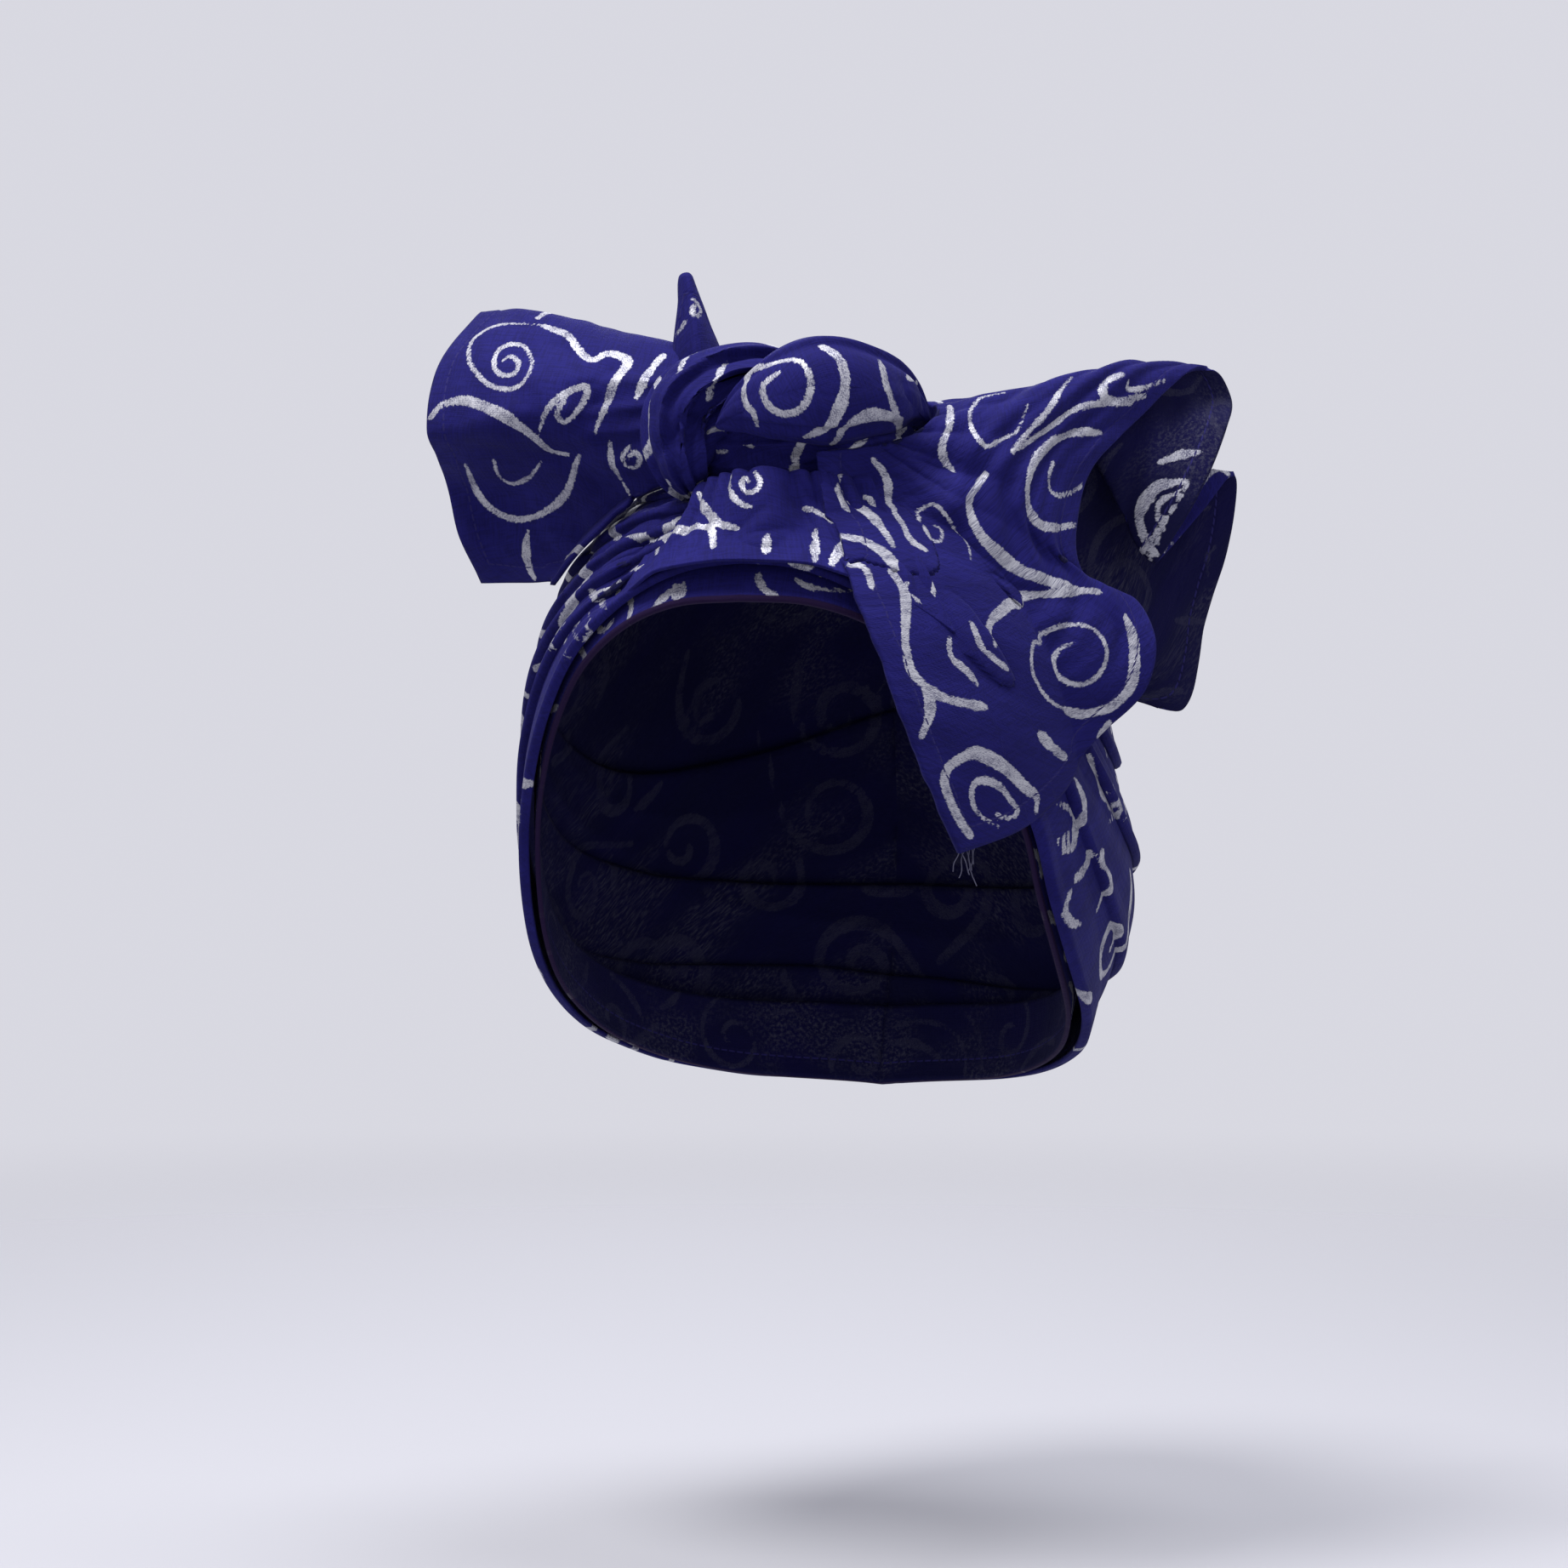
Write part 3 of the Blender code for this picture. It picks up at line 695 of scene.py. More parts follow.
@dataclass(frozen=True)
class PrintedCotton:
    """Thin plain-woven cotton, dyed dark blue, with scrolls of silver pigment on one side."""

    dye: Colour = (0.0062, 0.0052, 0.078)
    dye_worn: Colour = (0.0105, 0.0095, 0.108)
    dye_deep: Colour = (0.0035, 0.0028, 0.036)
    pigment: Colour = (0.42, 0.42, 0.46)
    pigment_thin: Colour = (0.09, 0.09, 0.15)
    wrong_dye: Colour = (0.0040, 0.0040, 0.030)
    wrong_bleed: Colour = (0.045, 0.045, 0.072)
    selvedge: Colour = (0.0100, 0.0035, 0.026)
    thread: Colour = (0.016, 0.014, 0.085)
    thread_pitch: float = 0.55
    stitch_inset: float = 6.0
    stitch_length: float = 2.6
    edge_raggedness: float = 0.75
    sheen: float = 0.025
    selvedge_width: float = 0.0

    def material(self, name: str, side: Side) -> bpy.types.Material:
        """Builds the nodes of one face of the cloth.

        Args:
            name: the material's name.
            side: which face it is.

        Returns:
            The material.
        """
        graph = Graph(name)
        chart = graph.add("ShaderNodeUVMap", {}, uv_map="cloth").outputs[0]
        run = graph.add("ShaderNodeVectorMath", {0: chart, "Scale": UV_MM},
                        operation="SCALE").outputs[0]
        weave, slub = self.weave(graph, run)
        cover, mottle = self.cover(graph, run, weave)
        stitch = self.stitching(graph)
        worn = graph.ramp(graph.noise(run, 0.035, 4.0, 0.6), 0.35, 0.70)
        shader = graph.shader
        if side is Side.PRINTED:
            dyed = graph.mix(worn, opaque(self.dye), opaque(self.dye_worn))
            dyed = graph.mix(graph.math("MULTIPLY", slub, 0.45), dyed, opaque(self.dye_deep))
            silver = graph.mix(mottle, opaque(self.pigment_thin), opaque(self.pigment))
            colour = graph.mix(cover, dyed, silver)
            graph.feed(shader.inputs["Metallic"], graph.math("MULTIPLY", cover, 0.35))
            graph.feed(shader.inputs["Roughness"], graph.ramp(cover, 0, 1, 0.82, 0.46))
        else:
            bleed = graph.math("MULTIPLY", cover, graph.math("MULTIPLY", mottle, 0.40))
            specks = graph.ramp(graph.noise(run, 0.9, 3.0, 0.65), 0.42, 0.72)
            specks = graph.math("MULTIPLY", specks, graph.ramp(
                graph.noise(run, 0.028, 2.0), 0.46, 0.62, 0.0, 0.75))
            soaked, soaked_mottle = self.cover(graph, run, weave, "soak_mm")
            silver = graph.mix(soaked_mottle, opaque(self.pigment_thin), opaque(self.pigment))
            dyed = graph.mix(worn, opaque(self.wrong_dye), opaque(self.dye_deep))
            dyed = graph.mix(graph.math("MAXIMUM", bleed, specks), dyed,
                             opaque(self.wrong_bleed))
            colour = graph.mix(soaked, dyed, silver)
            graph.feed(shader.inputs["Roughness"], graph.ramp(slub, 0, 1, 0.84, 0.92))
        colour = graph.mix(stitch, colour, opaque(self.thread))
        if self.selvedge_width:
            edge = graph.ramp(graph.attribute("hem_mm"), self.selvedge_width,
                              self.selvedge_width - 0.5)
            colour = graph.mix(edge, colour, opaque(self.selvedge))
        graph.feed(shader.inputs["Base Color"], colour)
        shader.inputs["Sheen Weight"].default_value = self.sheen
        shader.inputs["Sheen Roughness"].default_value = 0.45
        shader.inputs["Sheen Tint"].default_value = (0.45, 0.45, 0.85, 1.0)
        shader.inputs["Specular IOR Level"].default_value = 0.10
        self.relief(graph, run, weave, slub, cover, stitch)
        return graph.material

    def weave(self, graph: Graph, run: bpy.types.NodeSocket) -> tuple:
        """Warp and weft of a plain weave, and the thick and thin places of its yarns."""
        parts = graph.add("ShaderNodeSeparateXYZ", {0: run})
        across = graph.math("DIVIDE", parts.outputs[0], self.thread_pitch)
        along = graph.math("DIVIDE", parts.outputs[1], self.thread_pitch)
        warp = graph.math("ABSOLUTE", graph.math("SINE", graph.math(
            "MULTIPLY", across, math.pi)))
        weft = graph.math("ABSOLUTE", graph.math("SINE", graph.math(
            "MULTIPLY", along, math.pi)))
        over = graph.math("MODULO", graph.math("ABSOLUTE", graph.math(
            "ADD", graph.math("FLOOR", across), graph.math("FLOOR", along))), 2.0)
        under = graph.math("SUBTRACT", 1.0, over)
        weave = graph.math("ADD", graph.math("MULTIPLY", warp, over),
                           graph.math("MULTIPLY", weft, under))
        stretched = graph.add("ShaderNodeVectorMath", {0: run, 1: (0.25, 3.0, 1.0)},
                              operation="MULTIPLY").outputs[0]
        crossed = graph.add("ShaderNodeVectorMath", {0: run, 1: (3.0, 0.25, 1.0)},
                            operation="MULTIPLY").outputs[0]
        slub = graph.math("MULTIPLY", graph.math("ADD", graph.noise(stretched, 0.55),
                                                 graph.noise(crossed, 0.55)), 0.5)
        return weave, graph.ramp(slub, 0.44, 0.60)

    def cover(self, graph: Graph, run: bpy.types.NodeSocket,
              weave: bpy.types.NodeSocket, strokes: str = "print_mm") -> tuple:
        """Where pigment lies, with ragged edges, and how thick it lies there.

        Args:
            graph: the material's nodes.
            run: the place on the cloth in millimetres.
            weave: the height of the yarns.
            strokes: the name of the distance to the strokes.

        Returns:
            The cover and the thickness, each from 0 to 1.
        """
        ragged = graph.math("MULTIPLY", graph.math("SUBTRACT", graph.noise(
            run, 1.1, 3.0, 0.65), 0.5), self.edge_raggedness * 2)
        edge = graph.math("ADD", graph.attribute(strokes), ragged)
        inside = graph.ramp(edge, 0.12, -0.22)
        patches = graph.noise(run, 0.22, 3.0, 0.6)
        grains = graph.noise(run, 2.0, 2.0, 0.75)
        thick = graph.math("ADD", graph.math("MULTIPLY", grains, 0.75),
                           graph.math("MULTIPLY", patches, 0.55))
        mottle = graph.ramp(graph.math("ADD", thick, graph.math(
            "MULTIPLY", weave, 0.10)), 0.52, 0.84)
        held = graph.ramp(thick, 0.40, 0.56, 0.35, 1.0)
        return graph.math("MULTIPLY", inside, held), mottle

    def stitching(self, graph: Graph) -> bpy.types.NodeSocket:
        """The line of small stitches that holds a turned hem."""
        inset = graph.math("ABSOLUTE", graph.math(
            "SUBTRACT", graph.attribute("hem_mm"), self.stitch_inset))
        line = graph.ramp(inset, 0.34, 0.14)
        beat = graph.math("FRACT", graph.math(
            "DIVIDE", graph.attribute("run_mm"), self.stitch_length))
        dash = graph.ramp(graph.math("ABSOLUTE", graph.math("SUBTRACT", beat, 0.5)), 0.40, 0.32)
        return graph.math("MULTIPLY", line, dash)

    def relief(self, graph: Graph, run: bpy.types.NodeSocket, *parts: bpy.types.NodeSocket
               ) -> None:
        """Bump from the weave, the yarns, the pigment, the seam and small creases."""
        weave, slub, cover, stitch = parts
        creases = graph.noise(run, 0.16, 3.0, 0.55)
        valley = graph.ramp(graph.math("ABSOLUTE", graph.math(
            "SUBTRACT", graph.attribute("hem_mm"), self.stitch_inset)), 0.0, 1.0, -0.10, 0.0)
        height = graph.math("MULTIPLY", weave, 0.035)
        for share, part in ((0.03, slub), (0.03, cover), (0.10, stitch), (0.55, creases),
                            (1.0, valley)):
            height = graph.math("ADD", height, graph.math("MULTIPLY", part, share))
        bump = graph.add("ShaderNodeBump", {"Height": height, "Distance": MM, "Strength": 0.8})
        graph.feed(graph.shader.inputs["Normal"], bump.outputs[0])


# Pieces of cloth


def meshed(name: str, bm: bmesh.types.BMesh) -> bpy.types.Mesh:
    """The mesh of a bmesh, which is freed."""
    mesh = bpy.data.meshes.new(name)
    bm.to_mesh(mesh)
    bm.free()
    return mesh


def linked(name: str, data: bpy.types.ID) -> bpy.types.Object:
    """An object of the scene with a mesh, a light or a camera."""
    made = bpy.data.objects.new(name, data)
    bpy.context.scene.collection.objects.link(made)
    return made


@dataclass
class ClothPiece:
    """One piece of cloth, which stands for a CAD node."""

    name: str
    node: str
    patch: Patch
    scrolls: ScrollPrint
    wall: float = 0.9
    hem_wall: float = 1.4
    solid: bool = False
    hem_width: float = 6.2

    def build(self, printed: bpy.types.Material, wrong: bpy.types.Material
              ) -> bpy.types.Object:
        """Makes the mesh with its print, hems and wall, and puts it on the frame.

        Args:
            printed: the material of the printed side.
            wrong: the material of the wrong side.

        Returns:
            The finished object.
        """
        bm = bmesh.new()
        bmesh.ops.create_grid(bm, x_segments=self.patch.columns - 1,
                              y_segments=self.patch.rows - 1, size=0.5)
        self.shape(bm)
        if self.patch.closed:
            bmesh.ops.remove_doubles(bm, verts=bm.verts, dist=0.004 * MM)
        made = linked(self.name, meshed(self.name, bm))
        made.data.materials.append(printed)
        made.data.materials.append(wrong)
        made.data.shade_smooth()
        if not self.solid:
            made.vertex_groups.new(name="hem")
            wall = made.modifiers.new("wall", "SOLIDIFY")
            wall.thickness = self.hem_wall * MM
            wall.offset = 0
            wall.material_offset = 1
            wall.material_offset_rim = 0
            wall.vertex_group = "hem"
            wall.thickness_vertex_group = self.wall / self.hem_wall
        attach(made, "root")
        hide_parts(self.node)
        area = self.patch.area()
        LOG.info("%s: %d faces, %.4f square metres", self.name, len(made.data.polygons),
                 area * MM * MM)
        return made

    def shape(self, bm: bmesh.types.BMesh) -> None:
        """Moves the flat grid onto the patch and writes what each point carries."""
        patch = self.patch
        ink, soaked = self.scrolls.layers(patch)
        hem, run = patch.hem_distance()
        layers = {name: bm.verts.layers.float.new(name)
                  for name in ("print_mm", "soak_mm", "hem_mm", "run_mm")}
        groups = bm.verts.layers.deform.verify()
        chart = bm.loops.layers.uv.new("cloth")
        places = {}
        for vertex in bm.verts:
            column = round((vertex.co.x + 0.5) * (patch.columns - 1))
            row = round((vertex.co.y + 0.5) * (patch.rows - 1))
            places[vertex] = (row, column)
            vertex.co = Vector(patch.points[row, column]) * MM
            vertex[layers["print_mm"]] = ink[row, column]
            vertex[layers["soak_mm"]] = soaked[row, column]
            vertex[layers["hem_mm"]] = hem[row, column]
            vertex[layers["run_mm"]] = run[row, column]
            if hem[row, column] < self.hem_width:
                vertex[groups][0] = 1.0
        middle = patch.run_u[:, patch.columns // 2]
        for face in bm.faces:
            for loop in face.loops:
                row, column = places[loop.vert]
                across = patch.run_u[row, column] - middle[row]
                loop[chart].uv = (across / UV_MM, patch.run_v[row, column] / UV_MM)
        if patch.facing < 0:
            bmesh.ops.reverse_faces(bm, faces=bm.faces)


def sheet_size(piece: ClothPiece, width: float) -> tuple[float, float]:
    """The flat size of a piece's cloth in metres, from its width and its area."""
    return width * MM, piece.patch.area() / width * MM


# Head wrap and brow band


@dataclass(frozen=True)
class WrapTurn:
    """One turn of the wound cloth, from where the one above it ends."""

    edge: float
    stand: float
    wander: float
    waves: float
    phase: float
    creases: float
    crease_depth: float


@dataclass
class HeadWrap:
    """The wrap over crown, temples and nape, in turns that lie over each other."""

    layout: WrapLayout
    lift: float = 3.2
    wall: float = 1.0
    columns: int = 261
    steps: int = 24
    steepest: float = 0.3
    usual_stand: float = 2.2
    gather_count: int = 17
    gather_depth: float = 1.3
    gather_share: float = 0.30
    turns: tuple[WrapTurn, ...] = (
        WrapTurn(0.18, 1.6, 0.012, 3, 5.0, 1.0, 0.5),
        WrapTurn(0.35, 2.2, 0.020, 2, 4.1, 1.5, 0.7),
        WrapTurn(0.52, 2.4, 0.024, 3, 2.9, 2.0, 0.9),
        WrapTurn(0.69, 2.6, 0.022, 2, 1.7, 2.0, 0.9),
        WrapTurn(0.85, 2.4, 0.018, 3, 0.4, 1.5, 0.8),
        WrapTurn(1.00, 2.2, 0.000, 0, 0.0, 1.5, 0.6),
    )
    lip: tuple[tuple[float, float], ...] = ((0.5, 0.2), (0.72, 0.5), (0.82, 0.82), (1.0, 1.0))
    strokes: tuple[Stroke, ...] = ()
    creases: tuple[Crease, ...] = ()

    def turn_edge(self, turn: WrapTurn, turned: Array) -> Array:
        """Where a turn's edge lies on the way to the rim."""
        return turn.edge + turn.wander * np.sin(turn.waves * np.pi * turned + turn.phase)

    def row(self, turned: Array, share: Array, lift: Array) -> Array:
        """One row of points round the wrap."""
        _, _, azimuth = self.layout.edges(turned)
        direction = self.layout.direction(turned, share, self.layout.reveal(azimuth))
        full = self.layout.fullness(azimuth, share)
        return self.layout.head.point(direction, lift + full)

    def patch(self) -> Patch:
        """The whole wrap as one patch, closed at the back."""
        turned = np.linspace(-1, 1, self.columns)
        rows = [self.row(turned, np.zeros_like(turned), np.full_like(turned, self.lift))]
        inner = np.zeros_like(turned)
        for number, turn in enumerate(self.turns):
            outer = self.turn_edge(turn, turned)
            pitch = self.layout.pitch(turned, outer)
            stand = np.minimum(turn.stand, self.steepest * (outer - inner) * pitch)
            for step in range(1, self.steps + 1):
                t = step / self.steps
                share = inner + (outer - inner) * t
                wave = turn.creases * t + 0.35 * np.sin(3 * np.pi * turned + number * 2.1)
                crease = pleats(wave, 0.9) * turn.crease_depth * math.sin(math.pi * t)
                crease *= np.clip(stand / 1.5, 0.2, 1.0)
                gathers = pleats(turned * self.gather_count + 0.8 * np.sin(turned * 9))
                gathers *= self.gather_depth
                gathers *= np.exp(-((share / self.gather_share) ** 2)) * min(
                    1.0, 8 * share.max())
                rows.append(self.row(turned, share, self.lift + stand * t + crease + gathers))
            for out, down in self.lip:
                share = outer + out * stand / self.usual_stand / pitch
                rows.append(self.row(turned, share, self.lift + stand * (1 - down)))
            inner = outer + self.lip[-1][0] * stand / self.usual_stand / pitch
        patch = Patch(np.array(rows), closed=True, hems="v").faced(0.5, 0.6, (0, -1, 0.3))
        _, v = np.meshgrid(np.linspace(0, 1, patch.columns), np.linspace(0, 1, patch.rows))
        soft = ripple(patch.points[..., 0] + patch.points[..., 1] * 0.7, patch.points[..., 2],
                      34, 11) * 0.35
        patch = patch.pushed(soft * np.sin(np.pi * np.clip(v, 0.02, 0.98)) ** 0.3)
        return creased(patch, self.creases)

    def build(self, printed: bpy.types.Material, wrong: bpy.types.Material) -> ClothPiece:
        scrolls = ScrollPrint(self.strokes, seed=5, tries=1500, widths=(3.0, 4.2))
        piece = ClothPiece("wrap_cloth", "head_wrap", self.patch(), scrolls, self.wall, 1.2,
                           hem_width=0.0)
        made = piece.build(printed, wrong)
        sheet_size(piece, 540)
        return piece


@dataclass
class BrowBand:
    """The smooth innermost turn of cloth, which shows along the brow."""

    layout: WrapLayout
    lift: float = 1.1
    wall: float = 1.1
    width: float = 20.0
    columns: int = 361
    rows: int = 19
    strokes: tuple[Stroke, ...] = ()

    def patch(self) -> Patch:
        """The band as a patch, closed at the back, its hem at the rim."""
        turned, v = np.meshgrid(np.linspace(-1, 1, self.columns), np.linspace(0, 1, self.rows))
        direction = self.layout.direction(turned, np.ones_like(turned), self.width * (1 - v))
        soft = 0.25 * ripple(turned * 260, v * 20, 42, 7) * np.sin(np.pi * v)
        points = self.layout.head.point(direction, self.lift + soft)
        return Patch(points, closed=True, hems="v").faced(0.5, 0.5, (0, -1, 0.2))

    def build(self, printed: bpy.types.Material, wrong: bpy.types.Material) -> ClothPiece:
        scrolls = ScrollPrint(self.strokes, seed=3, spacing=30, clear_of_drawn=9)
        piece = ClothPiece("band_cloth", "brow_band", self.patch(), scrolls, self.wall, 1.3,
                           hem_width=1.6)
        made = piece.build(printed, wrong)
        sheet_size(piece, 520)
        return piece


# Knot


@dataclass(frozen=True)
class Roll:
    """A turn of the knot: stations of across, forward, up, radius and flatness."""

    name: str
    node: str
    stations: tuple[tuple[float, float, float, float, float], ...]
    folds: float
    depth: float
    twist: float
    seed: int
    strokes: tuple[Stroke, ...] = ()
    creases: tuple[Crease, ...] = ()
    columns: int = 145
    rows: int = 121
    beads: int = 16

    def tables(self) -> tuple[Array, Array, Array, Array]:
        """The stations' places, centres, radii and flatness."""
        rows = np.array(self.stations, float)
        keys = np.linspace(0, 1, len(rows))
        return keys, bow_points(rows[:, :3]), rows[:, 3:4], rows[:, 4:5]

    def bead_spheres(self) -> tuple[Array, Array]:
        """Centres and radii of the balls that fill the roll."""
        keys, centres, radii, _ = self.tables()
        shares = (np.arange(self.beads) + 0.5) / self.beads
        girth = np.sqrt(np.sin(np.pi * shares))
        return smooth_rows(keys, centres, shares), smooth_rows(keys, radii, shares)[:, 0] * girth

    def surface(self) -> Patch:
        """The roll's cloth in the bow frame, with its pleats pressed in."""
        keys, centres, radii, flats = self.tables()
        angle, s = np.meshgrid(np.linspace(0, math.tau, self.columns),
                               np.linspace(0, 1, self.rows))
        along = 0.5 - 0.5 * np.cos(np.pi * s)
        ahead = unit(smooth_rows(keys, centres, np.minimum(along + 0.01, 1))
                     - smooth_rows(keys, centres, np.maximum(along - 0.01, 0)))
        front = np.array([0.0, -1.0, 0.0])
        out = unit(front - ahead * (ahead @ front)[..., None])
        side = np.cross(ahead, out)
        girth = np.sqrt(np.maximum(np.sin(np.pi * along), 0))
        turns = angle / math.tau
        wander = 0.30 * np.sin(along * 5 + self.seed) + self.twist * along
        phase = turns * self.folds + wander + 0.28 * np.sin(angle * 2 + self.seed)
        deep = self.depth * (0.55 + 0.45 * np.sin(angle + self.seed + along * 4) ** 2)
        dent = laps(phase) * deep + ripple(angle * 12, along * 90, 26, self.seed) * 0.5
        dent += pleats(phase * 2.0 + 0.3, 0.8) * 0.35
        dent = (dent - 0.4) * girth
        radius = smooth_rows(keys, radii, along)[..., 0] * girth + dent
        radius = np.maximum(radius, 0) * (girth > 0)
        flat = smooth_rows(keys, flats, along)[..., 0]
        points = (smooth_rows(keys, centres, along)
                  + out * (np.cos(angle) * radius * flat)[..., None]
                  + side * (np.sin(angle) * radius)[..., None])
        return Patch(points, closed=True, hems="")


@dataclass
class Knot:
    """The knot: two visible turns of rolled cloth round a heart, with the heart's lines."""

    layout: WrapLayout
    left: Roll
    right: Roll
    heart_centre: Triple = (-3, 44, 0)
    heart_radii: Triple = (31, 24, 18)
    strokes: tuple[Stroke, ...] = ()
    creases: tuple[Crease, ...] = ()
    heart_shrink: float = 0.985
    heart_columns: int = 97
    heart_rows: int = 61
    stand_off: float = 1.22
    roll_lift: float = 5.6

    def off_head(self, points: Array, lift: Array | float) -> Array:
        """Points of the bow frame, moved out of the hollow where they are in it."""
        centre = np.array(self.layout.head.centre)
        out = from_bow(points) - centre
        limit = self.layout.head.point(unit(out), lift)
        inside = np.linalg.norm(out, axis=-1) < np.linalg.norm(limit - centre, axis=-1)
        return np.where(inside[..., None], to_bow(limit), points)

    def kept_clear(self, points: Array, lift: Array | float) -> Array:
        """Points of the bow frame, moved clear of the hollow and the knot.

        Args:
            points: where the cloth would be.
            lift: how far it stays off the hollow.

        Returns:
            Where it is.
        """
        heart = bow_points(np.array(self.heart_centre))
        radii = np.array(self.heart_radii) + self.stand_off
        rolls = [roll.bead_spheres() for roll in (self.left, self.right)]
        for _ in range(3):
            away = points - heart
            depth = np.linalg.norm(away / radii, axis=-1)[..., None]
            points = np.where(depth < 1, heart + away / np.maximum(depth, 1e-6), points)
            for centres, sizes in rolls:
                for centre, radius in zip(centres, sizes):
                    away = points - centre
                    far = np.linalg.norm(away, axis=-1)[..., None]
                    limit = radius + self.stand_off
                    points = np.where(far < limit, centre + unit(away) * limit, points)
            points = self.off_head(points, lift)
        return points

    def heart_patch(self) -> Patch:
        """The bundle of cloth in the middle of the knot."""
        angle, s = np.meshgrid(np.linspace(0, math.tau, self.heart_columns),
                               np.linspace(0, 1, self.heart_rows))
        fall = np.pi * s
        press = 1 + 0.07 * laps(s * 9 + 0.6 * np.sin(angle * 2) + 0.3 * np.sin(angle * 3))
        press = 1 + (press - 1) * np.sin(fall)
        ball = np.stack([
            np.sin(fall) * np.cos(angle) * press * self.heart_radii[0],
            np.sin(fall) * np.sin(angle) * press * self.heart_radii[1],
            -np.cos(fall) * self.heart_radii[2],
        ], axis=-1) * self.heart_shrink
        points = bow_points(np.array(self.heart_centre)) + ball
        return Patch(from_bow(self.off_head(points, self.roll_lift)), closed=True, hems="")

    def roll_patch(self, roll: Roll) -> Patch:
        """A turn of the knot in the row frame, clear of the hollow."""
        points = self.off_head(roll.surface().points, self.roll_lift)
        return Patch(from_bow(points), closed=True, hems="")

    def build(self, printed: bpy.types.Material, wrong: bpy.types.Material) -> list[ClothPiece]:
        heart = creased(self.heart_patch().faced(0.75, 0.5, (0, -1, 0)), self.creases)
        pieces = [ClothPiece("knot_heart_cloth", "knot_heart", heart,
                             ScrollPrint(self.strokes, seed=21), solid=True)]
        for roll in (self.left, self.right):
            patch = self.roll_patch(roll).faced(0.0, 0.5, (0.2, -1, 0.0))
            patch = creased(patch, roll.creases)
            pieces.append(ClothPiece(roll.name, roll.node, patch,
                                     ScrollPrint(roll.strokes, seed=roll.seed), solid=True))
        for piece in pieces:
            piece.build(printed, wrong)
        return pieces


# Bow ends, peak and gather


@dataclass
class BowSheet:
    """A free end of the cloth: folds run from its gathered root in the knot to its hem.

    A fold is its hem point and its puff, and a root its share of the hem and its point, all
    as across, forward and up in the bow frame.
    """

    name: str
    node: str
    knot: Knot
    folds: tuple[tuple[float, ...], ...]
    roots: tuple[tuple[float, ...], ...]
    lift: float
    towards: tuple[float, float, Triple]
    columns: int
    rows: int
    gather: float = 0.15
    dart: tuple[tuple[float, ...], ...] = ()
    dart_start: float = 0.42
    gathers: int = 11
    wall: float = 0.9
    hem_wall: float = 1.4
    pleat_count: float = 9.0
    pleat_depth: float = 1.6
    pleat_fade: float = 1.5
    tuck: float = 0.0
    settle: float = 0.0
    soft: float = 0.8
    clear_of_drawn: float = 15.0
    seed: int = 1
    strokes: tuple[Stroke, ...] = ()
    creases: tuple[Crease, ...] = ()
    laid: bool = False
    press: float = 0.5
    relaxings: int = 4
    crease_level: float = 0.85
    tuck_share: float = 0.16
    flat_width: float = 300.0
    held: str = "gathered"
    rests_on: tuple[str, ...] = ("knot_heart",)

    def gathered(self, keys: Array, values: Array, u: Array, spread: Array) -> Array:
        """The mean of a table round a place, so that narrow folds fade to the root."""
        total = np.zeros((*u.shape, values.shape[1]))
        for i in range(self.gathers):
            total += smooth_rows(keys, values, u + spread * (2 * i / (self.gathers - 1) - 1))
        return total / self.gathers

    def base(self, u: Array, v: Array) -> Array:
        """The sheet in the bow frame, before small folds and before it clears the knot."""
        folds = np.array(self.folds, float)
        hems, puffs = bow_points(folds[:, :3]), bow_points(folds[:, 3:])
        run = np.concatenate([[0], np.cumsum(np.linalg.norm(np.diff(hems, axis=0), axis=1))])
        keys = run / run[-1]
        calm = hems.copy()
        for number, *point in self.dart:
            calm[int(number)] = bow_points(np.array(point))
        roots = np.array(self.roots, float)
        root = smooth_rows(roots[:, 0], bow_points(roots[:, 1:]), u)
        inside = np.clip(np.minimum(u, 1 - u) / 0.12, 0.1, 1)
        spread = self.gather * inside * (1 - v) ** 1.3
        fold = ease((v - self.dart_start) / (1 - self.dart_start))[..., None]
        hem = (self.gathered(keys, calm, u, spread) * (1 - fold)
               + self.gathered(keys, hems, u, spread) * fold)
        belly = self.gathered(keys, puffs, u, self.gather * inside * (1 - v))
        down = v[..., None]
        return root * (1 - down) + hem * down + belly * (4 * down * (1 - down))

    def surface(self) -> Patch:
        """The sheet in the row frame with its small folds."""
        u, v = np.meshgrid(np.linspace(0, 1, self.columns), np.linspace(0, 1, self.rows))
        patch = Patch(self.base(u, v))
        wander = 0.5 * np.sin(u * 13 + self.seed) + 0.5 * v * np.sin(u * 7 + 2 * self.seed)
        near = np.clip(1 - v, 0, 1) ** self.pleat_fade
        small = pleats(u * self.pleat_count + wander) * self.pleat_depth * near
        small += self.soft * ripple(patch.run_u, patch.run_v, 30, self.seed) * ease(v * 3)
        small += 0.25 * self.soft * ripple(patch.run_u, patch.run_v, 11, self.seed + 9)
        small *= 1 - 0.6 * ease((v - 0.86) / 0.14)
        lift = self.lift - self.settle * ease((u - 0.8) / 0.2) * ease((v - 0.5) / 0.5)
        if not self.laid:
            patch = patch.pushed(small)
        points = from_bow(self.knot.kept_clear(patch.points, lift))
        patch = Patch(points).faced(*self.towards)
        if self.laid:
            patch = patch.pushed(small + 0.6 * self.pleat_depth)
        patch = Patch(relaxed(patch.points, self.relaxings), facing=patch.facing)
        patch = creased(patch, self.creases, self.crease_level)
        folded = to_bow(relaxed(patch.points, self.relaxings))
        points = from_bow(self.knot.off_head(folded, lift - self.press))
        inward = unit(np.array(self.knot.layout.head.centre) - points)
        points += inward * (self.tuck * (1 - ease(u / self.tuck_share)))[..., None]
        return Patch(points).faced(*self.towards)

